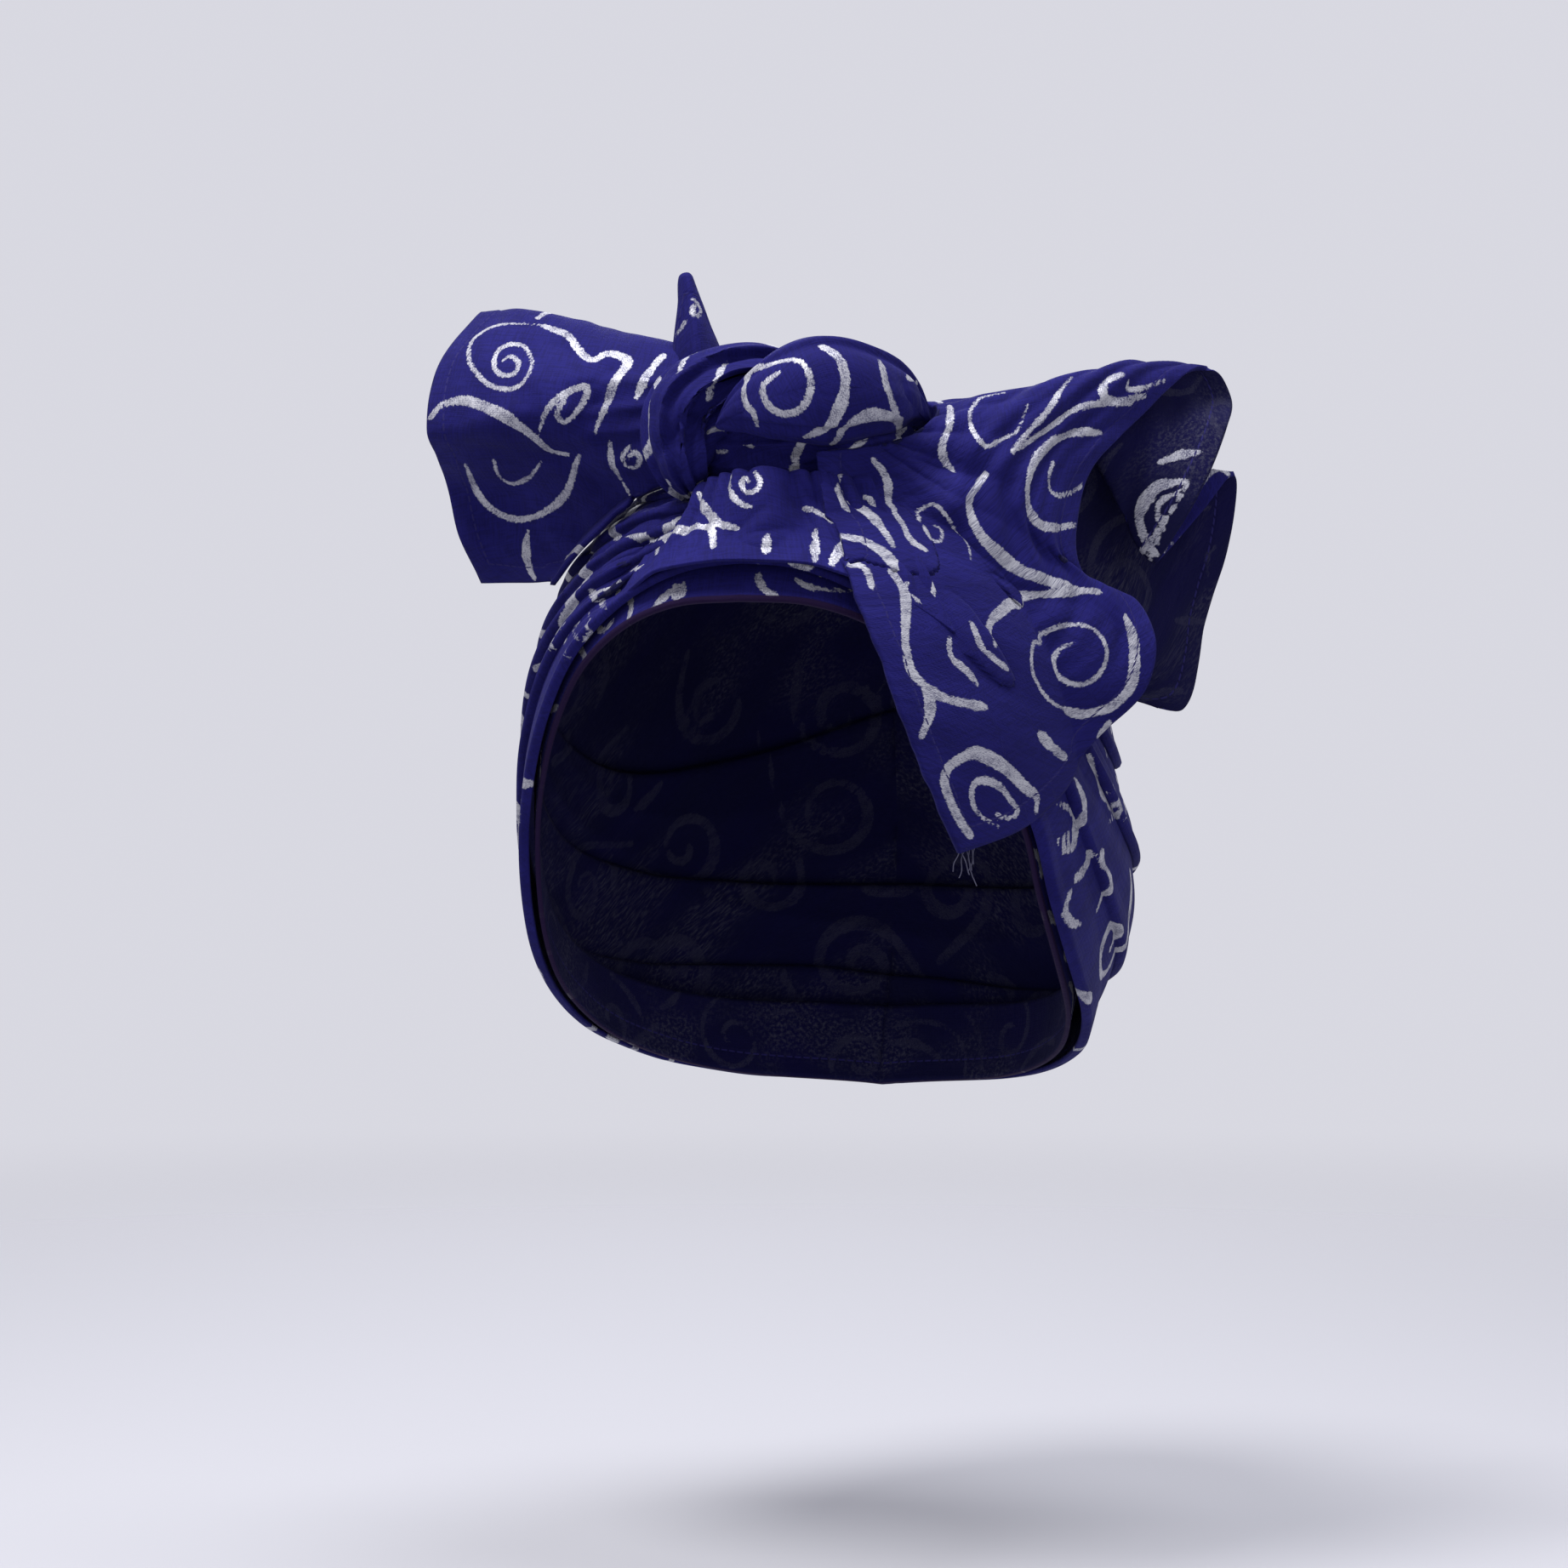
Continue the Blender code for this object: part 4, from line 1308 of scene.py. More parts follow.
    def build(self, printed: bpy.types.Material, wrong: bpy.types.Material,
              trims: tuple[bpy.types.Object, ...] = ()) -> ClothPiece:
        piece = ClothPiece(self.name, self.node, self.surface(),
                           ScrollPrint(self.strokes, self.seed, self.clear_of_drawn),
                           self.wall, self.hem_wall)
        made = piece.build(printed, wrong)
        sheet_size(piece, self.flat_width)
        return piece


@dataclass
class FrayedThreads:
    """Loose warp threads at the lower corner of the bow end's drop."""

    radius: float = 0.15
    sides: int = 5
    count: int = 7
    longest: float = 10.0
    spacing: float = 0.9
    steps: int = 7
    seed: int = 4

    def build(self, corner: Array, along: Array, finish: bpy.types.Material
              ) -> bpy.types.Object:
        """Makes the threads as one piece.

        Args:
            corner: the corner that they hang from, in the row frame.
            along: the direction in which they are spread along the hem.
            finish: their material.

        Returns:
            The object.
        """
        draw = random.Random(self.seed)
        bm = bmesh.new()
        for number in range(self.count):
            start = Vector(corner + along * (number * self.spacing)) * MM
            length = draw.uniform(0.35, 1.0) * self.longest * MM
            lean = Vector((draw.uniform(-0.4, 0.4), draw.uniform(-0.2, 0.2), -1)).normalized()
            curl = Vector((draw.uniform(-1, 1), draw.uniform(-1, 1), 0)) * 0.35
            ring = bmesh.ops.create_circle(bm, segments=self.sides, radius=self.radius * MM,
                                           cap_ends=True)["verts"]
            bmesh.ops.translate(bm, verts=ring, vec=start)
            faces = list({face for vertex in ring for face in vertex.link_faces})
            for step in range(self.steps):
                move = (lean + curl * math.sin(step * 0.9 + number)).normalized()
                raised = bmesh.ops.extrude_face_region(bm, geom=faces)["geom"]
                corners = [item for item in raised if isinstance(item, bmesh.types.BMVert)]
                bmesh.ops.translate(bm, verts=corners, vec=move * (length / self.steps))
                bmesh.ops.delete(bm, geom=faces, context="FACES_KEEP_BOUNDARY")
                faces = [item for item in raised if isinstance(item, bmesh.types.BMFace)]
        bmesh.ops.holes_fill(bm, edges=bm.edges, sides=self.sides)
        bmesh.ops.recalc_face_normals(bm, faces=bm.faces)
        made = linked("frayed_threads", meshed("frayed_threads", bm))
        made.data.materials.append(finish)
        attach(made, "root")
        return made


# Studio


@dataclass(frozen=True)
class Studio:
    """Camera, floor, sky and lights."""

    distance: float = 1100.0
    across: float = -7.7
    height: float = -87.6
    lens: float = 93.4
    sensor: float = 36.0
    floor_height: float = -300.0
    floor_radius: float = 1500.0
    floor_sides: int = 96
    sky: Colour = (0.69, 0.69, 0.755)
    aim: Triple = (0, 0, -60)

    def build(self) -> None:
        """Adds everything that isn't part of the object."""
        bpy.context.scene.view_settings.view_transform = "Standard"
        self.camera()
        self.floor()
        self.lights()

    def camera(self) -> None:
        """Looks level along the bow's axis from in front."""
        data = bpy.data.cameras.new("camera")
        data.lens, data.sensor_width, data.sensor_fit = self.lens, self.sensor, "HORIZONTAL"
        data.clip_start, data.clip_end = 0.05, 50
        made = linked("camera", data)
        place = from_bow(np.array([self.across, -self.distance, self.height]))
        made.location = Vector(place) * MM
        made.rotation_euler = (math.pi / 2, 0, BOW_TURN)
        bpy.context.scene.camera = made

    def floor(self) -> None:
        """A pale round floor whose rim fades into the sky."""
        bm = bmesh.new()
        bmesh.ops.create_circle(bm, cap_ends=True, segments=self.floor_sides,
                                radius=self.floor_radius * MM)
        bmesh.ops.translate(bm, verts=bm.verts, vec=(0, 0, self.floor_height * MM))
        made = linked("floor", meshed("floor", bm))
        graph = Graph("floor_paper")
        place = graph.add("ShaderNodeTexCoord", {}).outputs["Object"]
        far = graph.add("ShaderNodeVectorMath", {0: place}, operation="LENGTH").outputs["Value"]
        alpha = graph.ramp(far, self.floor_radius * MM, self.floor_radius * MM * 0.25)
        graph.feed(graph.shader.inputs["Alpha"], alpha)
        graph.shader.inputs["Base Color"].default_value = (0.40, 0.40, 0.43, 1)
        graph.shader.inputs["Roughness"].default_value = 0.9
        made.data.materials.append(graph.material)

    def lights(self) -> None:
        """Soft light from above and in front, a fill and an even sky."""
        world = bpy.data.worlds.new("sky")
        bpy.context.scene.world = world
        world.use_nodes = True
        background = world.node_tree.nodes["Background"]
        background.inputs["Color"].default_value = opaque(self.sky)
        background.inputs["Strength"].default_value = 1.0
        rows = (
            ("key", (-260, -520, 960), 420, 15.0, (1.0, 0.99, 0.98)),
            ("top", (150, -120, 950), 480, 7.0, (0.96, 0.97, 1.0)),
            ("fill", (850, -650, 150), 800, 0.9, (0.93, 0.95, 1.0)),
            ("back", (-300, 950, 400), 800, 4.0, (0.95, 0.96, 1.0)),
        )
        for name, place, size, power, colour in rows:
            data = bpy.data.lights.new(name, "AREA")
            data.shape, data.size, data.energy, data.color = "DISK", size * MM, power, colour
            made = linked(name, data)
            made.location = Vector(place) * MM
            aim = Vector(self.aim) * MM - made.location
            made.rotation_euler = aim.to_track_quat("-Z", "Y").to_euler()


# Casting the photo's lines onto the cloth


@dataclass(frozen=True)
class Crop:
    """An enlarged part of the photo: its corner's pixel and its enlargement."""

    left: float = 0.0
    top: float = 0.0
    scale: float = 1.0


@dataclass(frozen=True)
class Seen:
    """A stroke or a fold of the photo, through given pixels, with sizes in millimetres.

    A fold has a depth: a valley's is above zero and a ridge's below. The pixels are those of
    the whole photo or of a crop.
    """

    width: float
    picked: tuple[Point, ...]
    depth: float = 0.0
    crop: Crop = Crop()

    def pixels(self) -> list[Point]:
        """The picked points as pixels of the whole photo."""
        crop = self.crop
        return [(crop.left + x / crop.scale, crop.top + y / crop.scale) for x, y in self.picked]


Lines = tuple[Seen, ...]


@dataclass
class Hit:
    """Where the sight through a pixel meets a surface."""

    surface: str
    u: float
    v: float
    point: Vector
    pixel: Point


@dataclass
class PhotoView:
    """The photo's camera, which finds the places of the cloth that show at its pixels.

    The photo is a square of so many pixels, and a pixel covers about pixel_size millimetres of
    cloth. A line is broken where its step on the cloth is longer than steepest times what its
    pixels cover, plus slack. Its strokes in the mouth of the right bow end are soaked through.
    """

    surfaces: dict[str, Patch]
    studio: Studio = field(default_factory=Studio)
    pixels: int = 1843
    pixel_size: float = 0.22
    steepest: float = 2.2
    slack: float = 3.0
    soaked_surface: str = "right_end"
    soaked_share: Point = (0.27, 0.42)

    def __post_init__(self) -> None:
        """Prepares the triangles of each surface."""
        self.eye = Vector(from_bow(np.array(
            [self.studio.across, -self.studio.distance, self.studio.height])))
        self.sight = self.studio.lens / self.studio.sensor * self.pixels
        self.centre = self.pixels / 2
        self.trees = {}
        for name, patch in self.surfaces.items():
            corners = [Vector(point) for point in patch.points.reshape(-1, 3)]
            grid = np.arange(len(corners)).reshape(patch.rows, patch.columns)
            a, b = grid[:-1, :-1].ravel(), grid[:-1, 1:].ravel()
            c, d = grid[1:, 1:].ravel(), grid[1:, :-1].ravel()
            halves = np.stack([a, b, c, a, c, d], axis=1).reshape(-1, 3).tolist()
            self.trees[name] = (BVHTree.FromPolygons(corners, halves), corners, halves)

    def cast(self, pixel: Point) -> Hit | None:
        """The nearest place of the cloth behind a pixel, if there is one."""
        aim = np.array([(pixel[0] - self.centre) / self.sight, 1.0,
                        (self.centre - pixel[1]) / self.sight])
        ray = Vector(from_bow(aim)).normalized()
        nearest, found = math.inf, None
        for name, (tree, corners, halves) in self.trees.items():
            point, _, half, away = tree.ray_cast(self.eye, ray)
            if point is None or away >= nearest:
                continue
            patch = self.surfaces[name]
            shares = barycentric(point, *(corners[corner] for corner in halves[half]))
            u = sum(share * (corner % patch.columns) / (patch.columns - 1)
                    for share, corner in zip(shares, halves[half]))
            v = sum(share * (corner // patch.columns) / (patch.rows - 1)
                    for share, corner in zip(shares, halves[half]))
            nearest, found = away, Hit(name, u, v, point, pixel)
        return found

    def runs(self, pixels: list[Point]) -> list[list[Hit]]:
        """The stretches of a line that lie unbroken on one surface.

        Args:
            pixels: the pixels that the line runs through.

        Returns:
            The hits of each stretch, two or more.
        """
        runs: list[list[Hit]] = [[]]
        for pixel in pixels:
            hit = self.cast(pixel)
            before = runs[-1][-1] if runs[-1] else None
            if hit is None:
                runs.append([])
                continue
            if before and before.surface == hit.surface:
                if self.surfaces[hit.surface].closed:
                    hit.u += round(before.u - hit.u)
                step = math.dist(pixel, before.pixel) * self.pixel_size
                if (hit.point - before.point).length > step * self.steepest + self.slack:
                    runs.append([])
            elif before:
                runs.append([])
            runs[-1].append(hit)
        return [run for run in runs if len(run) >= 2]

    def strokes(self, seen: Lines) -> dict[str, tuple[Stroke, ...]]:
        """Strokes laid on the surfaces.

        Args:
            seen: the photo's strokes.

        Returns:
            The strokes of each surface.
        """
        laid: dict[str, tuple[Stroke, ...]] = dict.fromkeys(self.surfaces, ())
        for line in seen:
            for run in self.runs(line.pixels()):
                middle = sum(hit.u for hit in run) / len(run)
                soaked = (run[0].surface == self.soaked_surface
                          and self.soaked_share[0] < middle < self.soaked_share[1])
                laid[run[0].surface] += (Stroke(line.width, places_of(run), soaked),)
        return laid

    def creases(self, seen: Lines) -> dict[str, tuple[Crease, ...]]:
        """Folds laid on the surfaces, cast at half steps so that none jumps a gap.

        Args:
            seen: the photo's folds.

        Returns:
            The creases of each surface.
        """
        laid: dict[str, tuple[Crease, ...]] = dict.fromkeys(self.surfaces, ())
        for line in seen:
            pixels = line.pixels()
            fine = [pixels[0]]
            for (x, y), (end_x, end_y) in zip(pixels, pixels[1:]):
                fine += [((x + end_x) / 2, (y + end_y) / 2), (end_x, end_y)]
            for run in self.runs(fine):
                if len(run) > 4:
                    run = run[:-1:2] + run[-1:]
                laid[run[0].surface] += (Crease(line.depth, line.width, places_of(run)),)
        return laid

    def lines(self, scrolls: Lines, folds: Lines) -> dict[str, dict[str, tuple]]:
        """The strokes and creases of each surface, by those two names."""
        strokes, creases = self.strokes(scrolls), self.creases(folds)
        return {name: {"strokes": strokes[name], "creases": creases[name]} for name in strokes}


def barycentric(point: Vector, a: Vector, b: Vector, c: Vector) -> tuple[float, float, float]:
    """The shares of a triangle's corners in a point of it."""
    ab, ac, ap = b - a, c - a, point - a
    bb, bc, cc, pb, pc = ab @ ab, ab @ ac, ac @ ac, ap @ ab, ap @ ac
    size = bb * cc - bc * bc
    if abs(size) < 1e-12:
        return 1.0, 0.0, 0.0
    second, third = (cc * pb - bc * pc) / size, (bb * pc - bc * pb) / size
    return 1.0 - second - third, second, third


def places_of(run: list[Hit]) -> tuple[Point, ...]:
    """The places of a run, to a thousandth of the surface."""
    return tuple((round(hit.u, 3), round(hit.v, 3)) for hit in run)


def seen_surfaces(layout: WrapLayout, knot: Knot) -> dict[str, Patch]:
    """All the cloth without its creases, by name."""
    return {
        "band": BrowBand(layout).patch(), "wrap": HeadWrap(layout).patch(),
        "gather": front_gather(knot).surface(), "left_end": left_end(knot).surface(),
        "right_end": right_end(knot).surface(), "peak": peak(knot).surface(),
        "heart": knot.heart_patch(), "left_turn": knot.roll_patch(knot.left),
        "right_turn": knot.roll_patch(knot.right),
    }


# Strokes and folds of the photo, listed in its pixels

LEFT_END_SCROLLS: Lines = (
    Seen(1.6, ((592, 425), (601, 420), (610, 428), (606, 440), (592, 442), (582, 432), (586, 414),
        (601, 406), (618, 410), (626, 428), (618, 448), (600, 458), (578, 454), (562, 440),
        (552, 423), (556, 402), (569, 391), (585, 384), (601, 382), (639, 384))),
    Seen(2.6, ((639, 384), (667, 395), (678, 409), (695, 423), (717, 416), (738, 426), (720, 454),
        (713, 475), (699, 507))),
    Seen(3.0, ((508, 491), (524, 475), (552, 472), (583, 484), (608, 498), (629, 514), (646, 528),
        (667, 533))),
    Seen(1.8, ((634, 507), (641, 486), (660, 465), (688, 453), (680, 479), (664, 495), (655, 486),
        (664, 468))),
    Seen(2.2, ((548, 545), (566, 584), (601, 609), (639, 602), (667, 577), (681, 535))),
    Seen(1.5, ((580, 538), (587, 558), (603, 567), (622, 560), (636, 542))),
    Seen(1.8, ((717, 517), (720, 545), (741, 581))),
)
LEFT_TURN_SCROLLS: Lines = (
    Seen(1.5, ((739, 538), (746, 531), (753, 538), (748, 548), (737, 546), (733, 535), (741, 524),
        (757, 524))),
    Seen(2.4, ((780, 419), (765, 436), (748, 468))),
    Seen(2.2, ((853, 423), (843, 444), (829, 465))),
    Seen(2.0, ((832, 509), (850, 507), (869, 507))),
    Seen(1.8, ((832, 533), (842, 532), (853, 531))),
    Seen(2.0, ((874, 519), (880, 523), (885, 528))),
)
RIGHT_TURN_SCROLLS: Lines = (
    Seen(2.0, ((916, 437), (897, 454), (902, 475), (920, 486), (941, 481), (953, 458), (948, 433),
        (934, 423), (906, 428), (885, 434), (878, 445), (873, 458), (876, 475), (885, 486),
        (890, 500))),
    Seen(3.2, ((966, 407), (987, 423), (994, 451), (987, 479), (969, 503), (946, 514))),
    Seen(3.4, ((979, 522), (992, 503), (1011, 492), (1032, 488), (1056, 495), (1058, 506))),
    Seen(2.4, ((1032, 422), (1040, 444), (1048, 471), (1055, 489))),
    Seen(2.2, ((1067, 444), (1078, 450), (1088, 457))),
)
GATHER_SCROLLS: Lines = (
    Seen(1.6, ((882, 567), (876, 563), (872, 570), (878, 579), (888, 578), (894, 567), (888, 556),
        (874, 552), (861, 560), (859, 575), (868, 590), (884, 596))),
    Seen(2.6, ((787, 588), (801, 577), (822, 581), (829, 598), (846, 616), (867, 621))),
    Seen(2.6, ((773, 651), (780, 634), (801, 623), (822, 619), (836, 621), (839, 644))),
    Seen(2.6, ((902, 630), (900, 650), (897, 668))),
    Seen(2.4, ((959, 624), (958, 642), (957, 661))),
)
BROW_SCROLLS: Lines = (
    Seen(2.2, ((890, 675), (894, 687), (902, 696), (915, 704), (930, 710))),
    Seen(2.4, ((804, 688), (802, 705), (801, 721))),
    Seen(2.4, ((792, 696), (768, 716), (738, 749))),
    Seen(1.8, ((934, 681), (945, 689), (959, 693), (980, 695), (1000, 696))),
)
SIDE_SCROLLS: Lines = (
    Seen(2.4, ((668, 763), (673, 776), (679, 787))),
    Seen(2.2, ((649, 835), (658, 832), (667, 829))),
    Seen(1.8, ((1308, 945), (1313, 940), (1316, 948), (1309, 955), (1301, 948), (1304, 935),
        (1316, 930))),
)
TRUMPET_SCROLLS: Lines = (
    Seen(2.6, ((1292, 509), (1270, 508), (1240, 517), (1218, 539), (1207, 569), (1207, 595),
        (1218, 613), (1233, 620), (1261, 617))),
    Seen(1.4, ((1237, 543), (1231, 565), (1240, 583), (1263, 576), (1270, 569))),
    Seen(1.3, ((1211, 454), (1207, 476), (1196, 506), (1177, 517), (1157, 524), (1144, 509),
        (1140, 487), (1152, 469), (1181, 463))),
    Seen(1.6, ((1259, 445), (1233, 480), (1207, 509), (1189, 532))),
    Seen(2.0, ((1329, 474), (1292, 474), (1263, 482), (1233, 502), (1196, 528))),
    Seen(2.6, ((1318, 441), (1300, 450), (1296, 465), (1311, 472), (1344, 465))),
    Seen(1.4, ((1325, 447), (1325, 458), (1344, 456), (1370, 447))),
    Seen(2.2, ((1028, 522), (1026, 539), (1041, 561), (1044, 587), (1048, 609), (1059, 632),
        (1078, 644))),
    Seen(2.2, ((1116, 478), (1115, 502), (1107, 528), (1122, 554))),
    Seen(3.0, ((1159, 558), (1140, 583), (1140, 606), (1155, 632), (1177, 654), (1203, 672),
        (1233, 683), (1270, 694), (1292, 696))),
    Seen(1.3, ((1096, 618), (1104, 622), (1106, 634), (1096, 636), (1084, 628), (1078, 615),
        (1080, 600), (1096, 593), (1108, 600), (1118, 616), (1129, 632), (1140, 657))),
)
LOBE_SCROLLS: Lines = (
    Seen(1.6, ((1262, 756), (1248, 761), (1238, 774), (1240, 790), (1252, 801), (1270, 804),
        (1288, 795), (1299, 776), (1299, 758), (1288, 743), (1270, 735), (1248, 735), (1229, 743),
        (1215, 756), (1211, 775), (1216, 800), (1233, 824), (1250, 834))),
    Seen(3.0, ((1250, 834), (1266, 839), (1286, 836), (1303, 831), (1320, 817), (1329, 802),
        (1333, 765), (1330, 744), (1322, 724))),
    Seen(3.0, ((1159, 750), (1166, 728), (1189, 709), (1222, 698), (1270, 694))),
)
DROP_SCROLLS: Lines = (
    Seen(3.2, ((983, 633), (1007, 635), (1033, 650), (1052, 676), (1063, 702), (1064, 735),
        (1064, 765), (1070, 787), (1085, 805))),
    Seen(2.6, ((1085, 805), (1107, 820), (1137, 828), (1159, 831))),
    Seen(2.2, ((1115, 750), (1118, 772), (1137, 791), (1148, 805))),
    Seen(3.0, ((1085, 805), (1092, 835), (1081, 865), (1070, 883))),
    Seen(2.2, ((1129, 724), (1144, 757), (1174, 780))),
    Seen(2.2, ((996, 665), (1015, 669), (1024, 694), (1011, 717))),
    Seen(2.2, ((1035, 794), (1048, 813), (1053, 839))),
)
MOUTH_SCROLLS: Lines = (
    Seen(2.4, ((1362, 543), (1385, 536), (1410, 532))),
    Seen(3.0, ((1392, 565), (1372, 569), (1355, 576), (1340, 602), (1344, 628), (1359, 650))),
    Seen(1.6, ((1385, 578), (1362, 591), (1361, 609), (1366, 620), (1385, 632))),
    Seen(2.0, ((1396, 565), (1420, 558), (1444, 559))),
    Seen(1.6, ((1447, 624), (1428, 640), (1418, 654), (1418, 676), (1429, 694))),
    Seen(2.6, ((1344, 731), (1380, 730), (1414, 730))),
    Seen(2.4, ((1340, 820), (1365, 813), (1388, 811))),
)
CORNER_SCROLLS: Lines = (
    Seen(3.4, ((1138, 982), (1122, 957), (1110, 926), (1113, 904), (1131, 890), (1148, 885),
        (1170, 896), (1187, 908), (1205, 926), (1217, 936), (1215, 954), (1201, 978))),
    Seen(2.0, ((1171, 971), (1152, 959), (1141, 940), (1143, 922), (1156, 917), (1173, 924),
        (1187, 940), (1194, 954), (1184, 961), (1170, 957))),
    Seen(3.2, ((1219, 862), (1233, 876), (1250, 890), (1261, 915), (1272, 940), (1272, 961),
        (1261, 989), (1247, 999))),
    Seen(2.0, ((1240, 945), (1254, 950), (1261, 968), (1250, 985), (1240, 989))),
    Seen(2.6, ((1303, 848), (1289, 866), (1280, 887), (1286, 911), (1293, 933), (1300, 943))),
)
BEHIND_CORNER_SCROLLS: Lines = (
    Seen(2.0, ((1309, 871), (1300, 880), (1298, 890))),
    Seen(1.8, ((1321, 917), (1307, 922), (1301, 929))),
    Seen(1.5, ((1301, 969), (1314, 961), (1321, 950), (1317, 940), (1307, 941), (1303, 950),
        (1309, 955))),
    Seen(2.6, ((1333, 980), (1317, 992), (1296, 1001), (1289, 1006))),
    Seen(3.0, ((1194, 998), (1212, 999), (1222, 1013), (1222, 1031), (1214, 1043))),
    Seen(3.2, ((1282, 999), (1275, 1017), (1261, 1035))),
    Seen(3.0, ((1257, 1049), (1250, 1066), (1257, 1084), (1268, 1086))),
    Seen(2.6, ((1293, 1012), (1303, 1031), (1300, 1049), (1286, 1070))),
    Seen(3.0, ((1226, 1073), (1240, 1082), (1247, 1098))),
)
TEMPLE_SCROLLS: Lines = (
    Seen(3.6, ((699, 623), (692, 650), (684, 672), (672, 705), (661, 737), (650, 763))),
    Seen(2.0, ((730, 685), (712, 692), (692, 693), (700, 703), (712, 716))),
    Seen(1.5, ((664, 760), (665, 740), (672, 722), (684, 718), (694, 728), (695, 742), (687, 750),
        (678, 748), (676, 738), (682, 733))),
)
RIM_SCROLLS: Lines = (
    Seen(2.6, ((784, 565), (790, 577), (800, 583), (815, 580), (825, 566))),
    Seen(1.4, ((733, 747), (752, 728), (772, 710), (792, 692))),
    Seen(3.0, ((796, 690), (798, 705), (799, 715))),
)
PEAK_SCROLLS: Lines = (
    Seen(1.5, ((813, 352), (819, 358), (822, 366), (818, 372), (813, 366), (816, 361))),
    Seen(1.6, ((797, 394), (803, 385), (808, 377))),
)
SEEN_SCROLLS: Lines = (
    *LEFT_END_SCROLLS, *LEFT_TURN_SCROLLS, *RIGHT_TURN_SCROLLS, *GATHER_SCROLLS,
    *BROW_SCROLLS, *SIDE_SCROLLS, *TRUMPET_SCROLLS, *LOBE_SCROLLS, *DROP_SCROLLS,
    *MOUTH_SCROLLS, *CORNER_SCROLLS, *BEHIND_CORNER_SCROLLS, *TEMPLE_SCROLLS, *RIM_SCROLLS,
    *PEAK_SCROLLS,
)
RIGHT_CROP = Crop(940, 410, 3.2)
LEFT_CROP = Crop(620, 370, 3.6)
RIGHT_END_FOLDS: Lines = (
    Seen(5.0, ((270, 350), (400, 400), (500, 435), (600, 470), (700, 485)), 4.2, RIGHT_CROP),
    Seen(4.0, ((350, 340), (450, 270), (560, 220), (680, 180)), 1.8, RIGHT_CROP),
    Seen(7.0, ((800, 390), (720, 470), (600, 580), (540, 620)), -2.0, RIGHT_CROP),
    Seen(8.0, ((140, 520), (190, 590), (260, 640), (320, 700), (400, 760), (470, 820), (560, 920),
        (600, 1000), (650, 1090), (740, 1190), (820, 1290)), 2.8, RIGHT_CROP),
    Seen(4.5, ((660, 845), (760, 880), (880, 920), (1000, 945), (1110, 955)), 3.2, RIGHT_CROP),
    Seen(5.0, ((150, 400), (200, 480), (300, 560), (380, 600)), 1.0, RIGHT_CROP),
    Seen(3.5, ((860, 720), (950, 800), (1030, 880)), 1.6, RIGHT_CROP),
    Seen(5.0, ((230, 560), (330, 620), (430, 740)), 1.0, RIGHT_CROP),
    Seen(5.0, ((440, 950), (420, 1100), (480, 1250)), 0.8, RIGHT_CROP),
    Seen(4.0, ((1130, 950), (1200, 1080), (1200, 1230)), 2.8, RIGHT_CROP),
    Seen(3.0, ((760, 120), (700, 250), (690, 330)), 1.5, RIGHT_CROP),
)
LEFT_END_FOLDS: Lines = (
    Seen(5.0, ((240, 300), (290, 400), (260, 500)), 2.0, LEFT_CROP),
    Seen(5.0, ((400, 210), (300, 270), (180, 320)), 2.0, LEFT_CROP),
    Seen(6.0, ((731, 509), (690, 528), (650, 533), (600, 528), (550, 525), (515, 530)), 3.0),
    Seen(5.0, ((735, 480), (712, 470), (690, 480), (676, 500)), 2.5),
    Seen(5.0, ((725, 560), (690, 590), (650, 610), (600, 615)), 2.0),
    Seen(4.0, ((735, 440), (700, 425), (660, 410), (620, 395)), 1.6),
)
KNOT_FOLDS: Lines = (
    Seen(2.5, ((480, 360), (560, 270), (700, 190), (850, 170)), 1.3, LEFT_CROP),
    Seen(2.5, ((500, 480), (560, 380), (650, 290), (760, 230)), 1.2, LEFT_CROP),
    Seen(3.5, ((530, 680), (560, 560), (640, 480), (720, 400), (790, 320),
        (870, 260)), 3.0, LEFT_CROP),
    Seen(3.0, ((580, 560), (680, 520), (740, 440), (760, 400)), 2.0, LEFT_CROP),
    Seen(3.0, ((760, 560), (750, 460), (770, 400), (820, 340), (900, 270)), 2.5, LEFT_CROP),
    Seen(2.5, ((640, 180), (760, 150), (880, 180), (1000, 190)), 1.5, LEFT_CROP),
    Seen(2.0, ((1590, 250), (1610, 330), (1640, 430)), 1.5, LEFT_CROP),
    Seen(2.0, ((1640, 270), (1680, 360), (1690, 430)), 1.5, LEFT_CROP),
    Seen(2.5, ((905, 290), (900, 400), (905, 500)), 1.5, LEFT_CROP),
)
GATHER_FOLDS: Lines = (
    Seen(4.0, ((770, 560), (900, 590), (1060, 590)), 3.0, LEFT_CROP),
    Seen(3.0, ((1050, 600), (1080, 700), (1130, 790), (1200, 880), (1220, 920)), 2.0, LEFT_CROP),
    Seen(3.0, ((1130, 600), (1150, 690), (1200, 790), (1240, 880)), 2.0, LEFT_CROP),
    Seen(3.0, ((1200, 600), (1210, 720), (1240, 830), (1290, 900), (1330, 1000)), 2.5, LEFT_CROP),
    Seen(3.0, ((1050, 770), (960, 850), (880, 920), (740, 1040)), 1.8, LEFT_CROP),
    Seen(2.5, ((880, 940), (1000, 915), (1200, 910)), 1.5, LEFT_CROP),
)
TEMPLE_FOLDS: Lines = (
    Seen(4.0, ((740, 860), (620, 960), (560, 1050), (480, 1110), (330, 1180)), 3.0, LEFT_CROP),
    Seen(4.0, ((490, 740), (440, 850), (370, 960), (270, 1110)), 3.0, LEFT_CROP),
    Seen(4.0, ((600, 790), (560, 870), (480, 980), (400, 1090), (330, 1140)), 2.5, LEFT_CROP),
    Seen(3.5, ((400, 830), (330, 900), (250, 1010), (150, 1200)), 3.0, LEFT_CROP),
)
